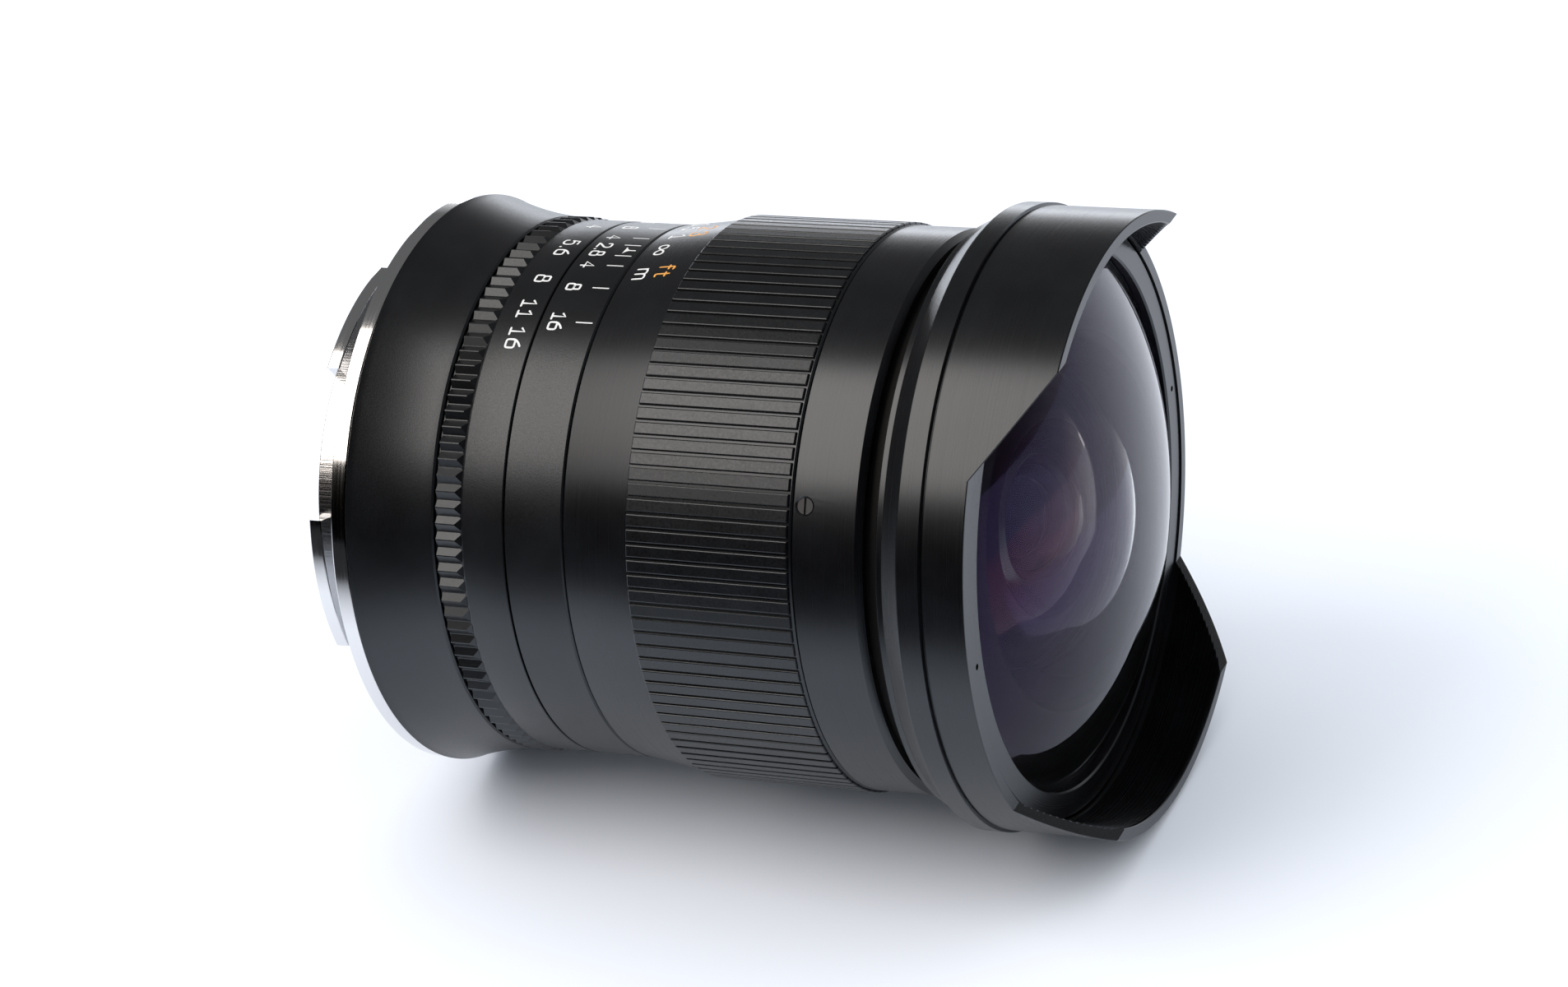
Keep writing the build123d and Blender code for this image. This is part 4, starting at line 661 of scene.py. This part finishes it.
class LensFrontBarrel(bpy.types.Operator):
    """Fixed ring in front of the focus ring, with the mouths of its three set screws"""
    bl_idname = "lens.front_barrel"
    bl_label = "Front barrel"

    def execute(self, context):
        outer, edge, slope, bore, row = millimetres("front_barrel_radius"), 0.15, 0.66, 30.5, 57.3
        piece = ring("front_barrel", [
            (TUBE_BORE, FRONT_BARREL_REAR), (outer - edge, FRONT_BARREL_REAR),
            (outer, FRONT_BARREL_REAR + edge), (outer, FRONT_BARREL_EDGE),
            (outer - slope, FRONT_BARREL_FRONT), (bore, FRONT_BARREL_FRONT), (bore, FRONT_WEB_FRONT),
            (TUBE_BORE, FRONT_WEB_FRONT)],
            "barrel")
        # The set screws' mouths and countersinks, as (radius below, radius above, from, to)
        for below, above, foot, top in ((0.92, 0.92, 31.3, 33.0), (0.8, 1.36, 31.74, 32.3)):
            drill(piece, (60.8, 180.8, 300.8), below, (foot, row), (top, row), 32, above)
        dress(piece, "anodised_aluminium_turned")
        return {"FINISHED"}


class LensHood(bpy.types.Operator):
    """Two-petal hood with light-trap teeth inside"""
    bl_idname = "lens.hood"
    bl_label = "Hood"

    def execute(self, context):
        outer, shoulder = millimetres("hood_radius"), millimetres("hood_rear_radius")
        bore, lip, land, line, rim = millimetres("hood_bore"), 31.0, 33.3, 0.2, 0.12
        count, pitch, depth, tip = 14, 0.5, 0.25, HOOD_TIP - 0.4
        teeth = []
        for index in range(count):
            teeth += [(bore, tip - index * pitch), (bore + depth, tip - (index + 1) * pitch)]
        piece = ring("lens_hood", [
            (lip, HOOD_REAR), (land - 0.1, HOOD_REAR), (land, HOOD_REAR + 0.1), (land, HOOD_REAR + 0.7),
            (shoulder - 0.05, HOOD_SHOULDER - 0.08),
            (shoulder, HOOD_SHOULDER + 0.05), (shoulder, HOOD_LINE - 0.15), (outer - line, HOOD_LINE),
            (outer - line, HOOD_LINE + 0.1), (outer, HOOD_LINE + 0.25), (outer, HOOD_TIP - rim),
            (outer - rim, HOOD_TIP), (bore + 0.1, HOOD_TIP), (bore, HOOD_TIP - 0.1), *teeth,
            (bore, tip - count * pitch), (bore, HOOD_LIP_FRONT), (lip, HOOD_LIP_FRONT)],
            "optical_unit")
        # A block as wide as the petals' gap, drawn sideways through the hood, leaves two petals.
        foot, top = (outer * math.cos(math.radians(angle)) for angle in (54.5, 34.0))
        slope = (top - foot) / (HOOD_TIP - HOOD_RIM)
        over, reach = 1.0, 40.0
        corners = [(-foot, HOOD_RIM), (foot, HOOD_RIM), (top + slope * over, HOOD_TIP + over),
                   (-top - slope * over, HOOD_TIP + over)]
        notch = bmesh.new()
        block(notch, [(-reach, -place, half) for half, place in corners], (2 * reach, 0, 0))
        bmesh.ops.recalc_face_normals(notch, faces=notch.faces[:])
        cut(piece, notch)
        self.soften(piece, outer)
        dress(piece, "anodised_aluminium_turned")
        return {"FINISHED"}

    def soften(self, piece, outer):
        """Break the outer edge of the notches."""
        bm = bmesh.new()
        bm.from_mesh(piece.data)
        chosen = []
        for edge in bm.edges:
            if len(edge.link_faces) != 2 or edge.calc_face_angle(0.0) < math.radians(40):
                continue
            rear = min(-vert.co.y / MM for vert in edge.verts)
            outside = min(radius_of(vert.co) for vert in edge.verts) > outer - 0.01
            if outside and HOOD_RIM - 0.05 < rear < HOOD_TIP - 0.2:
                chosen.append(edge)
        chamfer(bm, chosen, 0.12)
        bm.to_mesh(piece.data)
        bm.free()
        smooth(piece.data)


class LensFrontCell(bpy.types.Operator):
    """Cell with the neck behind the hood, and the threaded rings in front of the glass"""
    bl_idname = "lens.front_cell"
    bl_label = "Front cell and its rings"

    def execute(self, context):
        neck, ledge = millimetres("neck_radius"), sag(SURFACES[2], 19.5)
        top, seat, gap = sag(SURFACES[0], 30.4), sag(SURFACES[1], 19.0) - 0.40, 0.02
        seat_2, seat_3 = sag(SURFACES[3], 11.2) - gap, sag(SURFACES[5], 10.5) - gap
        flange, flange_rear, neck_rear, tail_rear, tail, step = 33.4, 69.02, 60.6, 50.5, 13.2, 2.1
        ring("front_cell", [
            (flange, flange_rear), (flange, top - 2.2), (32.95, top - 2.2), (32.95, top), (31.25, top),
            (31.25, seat), (28.8, seat), (28.8, seat - step), (21.0, seat - step), (21.0, ledge),
            (19.55, ledge), (19.55, seat_2), (11.55, seat_2), (11.55, seat_3), (10.9, seat_3),
            (10.9, tail_rear), (tail, tail_rear), (tail, neck_rear), (neck, neck_rear), (neck, flange_rear)],
            "optical_unit", "flat_black_lacquer", "inner_black", 0.1)
        rear, bore, foot, rim, circle = top + gap, 30.4, 33.0, 33.45, 32.2
        front_ring = ring("front_retaining_ring", [
            (bore, rear), (foot, rear), (foot, rear - 2.0), (rim, rear - 2.0), (rim, rear + 1.0),
            (rim - 0.15, rear + 1.15), (bore + 0.2, rear + 1.15), (bore, rear + 0.95)],
            "optical_unit")
        drill(front_ring, (90, 270), 0.35, (circle, rear + 0.45), (circle, rear + 2.0))
        dress(front_ring, "anodised_aluminium_turned")
        # Inner rings: name, surface that they hold and at which radius, bore, outside, height, chamfer
        for name, surface, touch, bore, outer, height, edge in (
                ("second_retaining_ring", 2, 18.9, 18.9, 20.95, 1.6, 0.18),
                ("third_retaining_ring", 4, 11.5, 10.1, 11.5, 1.4, 0.15)):
            rear = sag(SURFACES[surface], touch) + gap
            ring(name, [(bore, rear), (outer, rear), (outer, rear + height), (bore, rear + height)],
                 "optical_unit", slot="inner_black", rounding=edge)
        return {"FINISHED"}


class LensGlass(bpy.types.Operator):
    """Eleven coated elements with blackened rims"""
    bl_idname = "lens.glass"
    bl_label = "Glass elements"

    def execute(self, context):
        repeated = ["crown_glass_blue", "crown_glass_green", "flint_glass_magenta", "flint_glass_amber"]
        coatings = ["front_crown_glass", "flint_glass_magenta", *repeated, *repeated, repeated[0]]
        steps = 40
        for coating, (node, front, rear, edge, clear, cemented) in zip(coatings, ELEMENTS):
            vertex, curve = SURFACES[front]
            face = (vertex - CEMENT_GAP if cemented else vertex, curve)
            flat = sag(SURFACES[rear], clear)
            corners = arc(face, 0.0, edge, steps)
            if clear < edge:
                corners.append((edge, flat))
            corners += arc(SURFACES[rear], clear, 0.0, steps)
            bm = spun(corners, GLASS_STEPS)
            # The rim and the ground ring round the rear face are blackened.
            for side in bm.faces:
                centre = side.calc_center_median()
                radius = radius_of(centre)
                rim = radius > edge * 0.9995
                ground = clear < edge and radius > clear and abs(-centre.y / MM - flat) < 0.01
                side.material_index = 1 if rim or ground else 0
            piece = as_object(node + "_polished", bm)
            dress(piece, coating, "flat_black_lacquer")
            settle(piece, "optical_unit", "front_glass" if node == "front_element" else "inner_glass", node)
        return {"FINISHED"}


class LensScales(bpy.types.Operator):
    """Engraved and painted numbers, ticks and marks of the three scales"""
    bl_idname = "lens.scales"
    bl_label = "Scales"

    def execute(self, context):
        scale_radius = millimetres("scale_ring_radius")
        band_radius = millimetres("aperture_band_radius")
        cone = millimetres("cone_radius")

        def cone_radius(place):
            share = (place - FOCUS_REAR - 0.2) / (CONE_FRONT - FOCUS_REAR - 0.2)
            return scale_radius + (cone - scale_radius) * share

        # Numbers and their angles from the index line
        half = [("16", 24.4), ("8", 14.4), ("4", 6.6)]
        depth = [(text, -angle) for text, angle in half] + [("2.8", 0.0)] + half[::-1]
        stops = [("5.6", 0.0), ("8", 12.4), ("11", 21.5), ("16", 29.2), ("4", -13.5), ("2.8", -28.0)]
        metres = [("infinity", 0.0), ("1", -7.2), ("0.5", -15.9), ("0.3", -30.9), ("0.2", -58.2),
                  ("0.17", -79.2)]
        feet = [("3", -7.95), ("2", -12.6), ("1", -30.1), ("0.7", -52.0), ("0.56", -78.0), ("ft", 9.1)]
        tick_place = 26.0
        marks = [self.number(text, angle, 22.6, "depth_height", 0.29) for text, angle in depth]
        for angle in (-24.4, -14.4, -6.6, -2.5, 2.5, 6.6, 14.4, 24.4):
            marks.append(self.tick(angle, tick_place))
        marks.append(self.pointer(tick_place))
        self.engrave("depth_scale", marks, lambda place: scale_radius, "barrel", "white_enamel")
        marks = [self.number(text, angle, 18.3, "stop_height", 0.38) for text, angle in stops]
        self.engrave("aperture_numbers", marks, lambda place: band_radius, "aperture_ring", "white_enamel")
        marks = [self.number(text, angle, 30.5, "distance_height", 0.32) for text, angle in metres]
        marks.append(self.number("m", 9.7, 30.2, "distance_height", 0.32))
        self.engrave("metre_scale", marks, cone_radius, "focus_ring", "white_enamel")
        marks = [self.number(text, angle, 32.95, "distance_height", 0.32) for text, angle in feet]
        self.engrave("feet_scale", marks, cone_radius, "focus_ring", "amber_enamel")
        return {"FINISHED"}

    def number(self, text, angle, place, size, space):
        """Strokes of a number, centred on an angle and a place, with a space between its letters."""
        height = millimetres(size)
        letters = [text] if text in GLYPHS else list(text)
        total = sum(GLYPHS[letter][0] for letter in letters) + space * (len(letters) - 1)
        start = -total / 2
        strokes = []
        for letter in letters:
            width, parts = GLYPHS[letter]
            for kind, points in parts:
                strokes.append((kind, [((start + x) * height, (y - 0.5) * height, 1.0) for x, y in points]))
            start += width + space
        return angle, place, strokes

    def tick(self, angle, place):
        """One straight mark along the axis."""
        half, wide = millimetres("tick_length") / 2, millimetres("tick_stroke") / millimetres("stroke")
        return angle, place, [("line", [(0.0, -half, wide), (0.0, half, wide)])]

    def pointer(self, place):
        """The index: a wedge with hollow sides that ends in a thin stem towards the distances."""
        half, wide = millimetres("tick_length") / 2, millimetres("stroke")
        widths = [(-0.38, 1.6), (-0.23, 1.05), (-0.08, 0.6), (0.1, 0.3), (0.3, 0.2), (half, 0.18)]
        return 0.0, place, [("wedge", [(0.0, forward, width / wide) for forward, width in widths])]

    def engrave(self, name, marks, radius_at, body, material):
        """Strokes as flat-topped paint that follows a ring."""
        whole = bmesh.new()
        stroke = millimetres("stroke")
        for angle, place, strokes in marks:
            flat = self.strokes_as_mesh(strokes, stroke)
            centre = radius_at(place)
            for vert in flat.verts:
                along, across, height = vert.co / MM
                turn = angle + math.degrees(along / centre)
                lift = max(-1.0, min(1.0, height / (stroke / 2))) * millimetres("paint_height")
                vert.co = Vector(on_ring(radius_at(place + across) + lift, turn, place + across)) * MM
            merge(whole, flat)
        piece = as_object(name, whole)
        dress(piece, material)
        settle(piece, body, "black_anodised")

    def strokes_as_mesh(self, strokes, width):
        """Round strokes from curves, as a mesh."""
        curve = bpy.data.curves.new("strokes", "CURVE")
        curve.dimensions = "3D"
        curve.bevel_depth = width / 2 * MM
        curve.bevel_resolution = 2
        curve.use_fill_caps = True
        curve.resolution_u = 6
        for kind, points in strokes:
            spline = curve.splines.new("POLY" if kind in ("line", "wedge") else "NURBS")
            if kind in ("line", "bow"):
                points = self.rounded_ends(points, width)
            spline.points.add(len(points) - 1)
            for point, (x, y, size) in zip(spline.points, points):
                point.co = (x * MM, y * MM, 0.0, 1.0)
                point.radius = size
            if kind == "bow":
                spline.order_u = 3
                spline.use_endpoint_u = True
            if kind == "loop":
                spline.order_u = 3
                spline.use_cyclic_u = True
        holder = bpy.data.objects.new("strokes", curve)
        bpy.context.scene.collection.objects.link(holder)
        graph = bpy.context.evaluated_depsgraph_get()
        mesh = bpy.data.meshes.new_from_object(holder.evaluated_get(graph))
        flat = bmesh.new()
        flat.from_mesh(mesh)
        bpy.data.objects.remove(holder)
        bpy.data.curves.remove(curve)
        bpy.data.meshes.remove(mesh)
        return flat

    def rounded_ends(self, points, width):
        """Extra points that narrow the stroke's ends, as a round cutter leaves them."""
        points = list(points)
        for _ in range(2):
            (x, y, size), (x2, y2, _size) = points[0], points[1]
            run = math.dist((x, y), (x2, y2)) or 1.0
            step = width * size / 2 / run
            points.insert(0, (x + (x - x2) * step * 0.6, y + (y - y2) * step * 0.6, 0.7 * size))
            points.insert(0, (x + (x - x2) * step * 0.95, y + (y - y2) * step * 0.95, 0.15 * size))
            points.reverse()
        return points


class LensInnerParts(bpy.types.Operator):
    """Finishes for the screws, tubes, cells and iris that stay as they are in the CAD model"""
    bl_idname = "lens.inner_parts"
    bl_label = "Inner parts"

    def execute(self, context):
        by_slot = {
            "bayonet_chrome": "chromed_brass", "black_anodised": "anodised_aluminium_turned",
            "inner_black": "flat_black_lacquer", "screw_black": "blackened_steel",
            "steel": "stainless_steel", "brass": "turned_brass", "baffle_black": "painted_baffle",
            "blade_black": "blackened_spring_steel", "gasket_rubber": "nitrile_rubber",
            "front_glass": "front_crown_glass", "inner_glass": "crown_glass_blue"}
        for row in frame["record"]["subparts"]:
            for slot in frame["nodes"][row["node"]].material_slots:
                slot.material = FINISHES[by_slot[row["material_slot"]]]
        return {"FINISHED"}


class LensStage(bpy.types.Operator):
    """Pale floor, soft lamps, pale surroundings and the camera"""
    bl_idname = "lens.stage"
    bl_label = "Stage"

    def execute(self, context):
        self.make_floor()
        self.make_world(context.scene)
        # place, size, power, colour and long direction of each lamp
        self.make_lamp("key_softbox", (-0.43, 0.388, 0.741), (0.82, 0.5), 5.4, "#fff4ea", (-0.86, 0, -0.5))
        self.make_lamp("rear_softbox", (0.75, 0.35, 0.025), (0.9, 0.1), 0.88, "#f4f8ff", (-0.39, 0.75, 0))
        self.make_camera(context.scene)
        return {"FINISHED"}

    def make_floor(self):
        """A wide plane that touches the hood and the mount."""
        bm = bmesh.new()
        bmesh.ops.create_circle(bm, cap_ends=True, segments=64, radius=3.0)
        # The lens lies on its rear barrel's edge and its hood's shoulder, with a hair's gap.
        gap = 0.02
        rear, rear_radius = REAR_BARREL_REAR - gap, millimetres("barrel_rear_radius")
        front, front_radius = HOOD_SHOULDER, millimetres("hood_rear_radius") + gap
        lean = math.atan2(front_radius - rear_radius, front - rear)
        drop = rear_radius - rear * math.tan(lean)
        bmesh.ops.rotate(bm, verts=bm.verts[:], cent=(0, 0, 0), matrix=Matrix.Rotation(lean, 3, "X"))
        bmesh.ops.translate(bm, verts=bm.verts[:], vec=(0, 0, -drop * MM))
        floor = as_object("floor", bm, clean=False)
        material = bpy.data.materials.new("white_paper")
        tree = emptied(material)
        place = add(tree, "TexCoord").outputs["Object"]
        fibre = add(tree, "TexNoise", {"Vector": place, "Scale": 1 / (0.6 * MM)})
        bump = add(tree, "Bump", {"Height": fibre, "Distance": 0.01 * MM})
        # On the near side the floor is painted black for reflection rays only, a painted dark reflection that
        # stands in for a dark room; the camera and diffuse rays still see the pale floor.
        across = add(tree, "SeparateXYZ", {"Vector": place}).outputs["X"]
        near_side_painted_reflection_mask = add(tree, "MapRange", {
            "Value": across, "From Min": -0.16, "From Max": -0.072, "To Min": 0.98, "To Max": 0.0})
        glossy = add(tree, "LightPath").outputs["Is Glossy Ray"]
        painted_dark_reflection = add(tree, "Math", {0: glossy, 1: near_side_painted_reflection_mask}, operation="MULTIPLY")
        # The floor's colour, with the painted dark reflection mixed in for glossy rays.
        paper_and_painted_reflection = add(tree, "Mix", {
            "Factor": painted_dark_reflection, "A": colour("floor"), "B": (0.0, 0.0, 0.0, 1.0)}, data_type="RGBA")
        paper_and_painted_reflection = add(tree, "BsdfDiffuse", {"Color": paper_and_painted_reflection.outputs[2], "Normal": bump})
        add(tree, "OutputMaterial", {"Surface": paper_and_painted_reflection})
        floor.data.materials.append(material)

    def make_world(self, scene):
        """Plain soft surroundings: white for what is seen, with a darker room in reflections."""
        world = bpy.data.worlds.new("studio")
        tree = emptied(world)
        path = add(tree, "LightPath").outputs
        way = add(tree, "TexCoord").outputs["Generated"]
        rise = add(tree, "VectorMath", {0: way, 1: (-0.45, 0.0, 0.9)}, operation="DOT_PRODUCT")
        parts = add(tree, "SeparateXYZ", {"Vector": way}).outputs
        # Levels that change with the direction, as (value, from, to, level at from, level at to)
        ceiling, near, far, high = (
            add(tree, "MapRange", {
                "Value": value, "From Min": start, "From Max": end, "To Min": at_start, "To Max": at_end})
            for value, start, end, at_start, at_end in (
                (rise.outputs["Value"], -0.42, -0.14, 1.0, 0.15), (parts["X"], -0.56, -0.1, 0.0, 1.0),
                (parts["X"], -0.7, 0.2, 0.88, 1.36), (parts["Z"], 0.0, 0.5, 0.12, 1.0)))
        # Camera rays see plain white and diffuse rays an even fill; the rest see the room, of which
        # the coatings of the inner glasses send back less than plain glass does.
        room = add(tree, "Math", {0: ceiling, 1: near}, operation="MULTIPLY")
        coated = add(tree, "Math", {
            0: path["Is Transmission Ray"], 1: -0.4, 2: 1.0}, operation="MULTIPLY_ADD")
        room = add(tree, "Math", {0: room, 1: coated}, operation="MULTIPLY")
        inside = add(tree, "Math", {
            0: path["Is Glossy Ray"], 1: path["Is Transmission Ray"]}, operation="MAXIMUM")
        mirrored = add(tree, "Math", {0: inside, 1: room}, operation="MULTIPLY")
        soft = add(tree, "Math", {0: far, 1: high}, operation="MULTIPLY")
        fill = add(tree, "Math", {0: path["Is Diffuse Ray"], 1: soft}, operation="MULTIPLY")
        level = add(tree, "Math", {0: mirrored, 1: fill}, operation="MAXIMUM")
        level = add(tree, "Math", {0: level, 1: path["Is Camera Ray"]}, operation="MAXIMUM")
        glow = add(tree, "Background", {"Color": (1, 1, 1, 1), "Strength": level})
        add(tree, "OutputWorld", {"Surface": glow})
        scene.world = world

    def make_lamp(self, name, place, size, power, warmth, long_way):
        """A soft rectangular lamp that faces the middle of the lens."""
        lamp = bpy.data.lights.new(name, "AREA")
        lamp.shape = "RECTANGLE"
        lamp.size, lamp.size_y = size
        lamp.energy = power
        lamp.color = linear(warmth)
        holder = bpy.data.objects.new(name, lamp)
        holder.location = place
        middle = Vector((0, -0.04, 0))
        back = (Vector(place) - middle).normalized()
        along = Vector(long_way)
        along = (along - back * along.dot(back)).normalized()
        holder.rotation_euler = Matrix((along, back.cross(along), back)).transposed().to_euler()
        bpy.context.scene.collection.objects.link(holder)

    def make_camera(self, scene):
        """The photograph's viewpoint."""
        camera = bpy.data.cameras.new("camera")
        camera.sensor_width = 36.0
        camera.lens = 103.9
        camera.clip_start = 0.01
        holder = bpy.data.objects.new("camera", camera)
        holder.location = (-0.40953, -0.25191, 0.2392)
        holder.rotation_euler = [math.radians(angle) for angle in (62.338, 8.108, -66.942)]
        scene.collection.objects.link(holder)
        scene.camera = holder
        scene.view_settings.view_transform = "Standard"


OPERATORS = (LensMount, LensRearBarrel, LensApertureRing, LensScaleRing, LensFocusRing, LensFrontBarrel,
             LensHood, LensFrontCell, LensGlass, LensScales, LensInnerParts, LensStage)


class LensPanel(bpy.types.Panel):
    """Lists the lens's pieces in the sidebar"""
    bl_idname = "VIEW3D_PT_lens"
    bl_label = "Fisheye lens"
    bl_space_type = "VIEW_3D"
    bl_region_type = "UI"
    bl_category = "Lens"

    def draw(self, context):
        for operator in OPERATORS:
            self.layout.operator(operator.bl_idname)


CLASSES = (LensSizes, LensColours, *OPERATORS, LensPanel)


def register():
    for each in CLASSES:
        bpy.utils.register_class(each)
    bpy.types.Scene.lens_sizes = bpy.props.PointerProperty(type=LensSizes)
    bpy.types.Scene.lens_colours = bpy.props.PointerProperty(type=LensColours)


def unregister():
    del bpy.types.Scene.lens_colours
    del bpy.types.Scene.lens_sizes
    for each in reversed(CLASSES):
        bpy.utils.unregister_class(each)


def main():
    register()
    for operator in OPERATORS:
        group, name = operator.bl_idname.split(".")
        getattr(getattr(bpy.ops, group), name)()


if __name__ == "__main__":
    main()
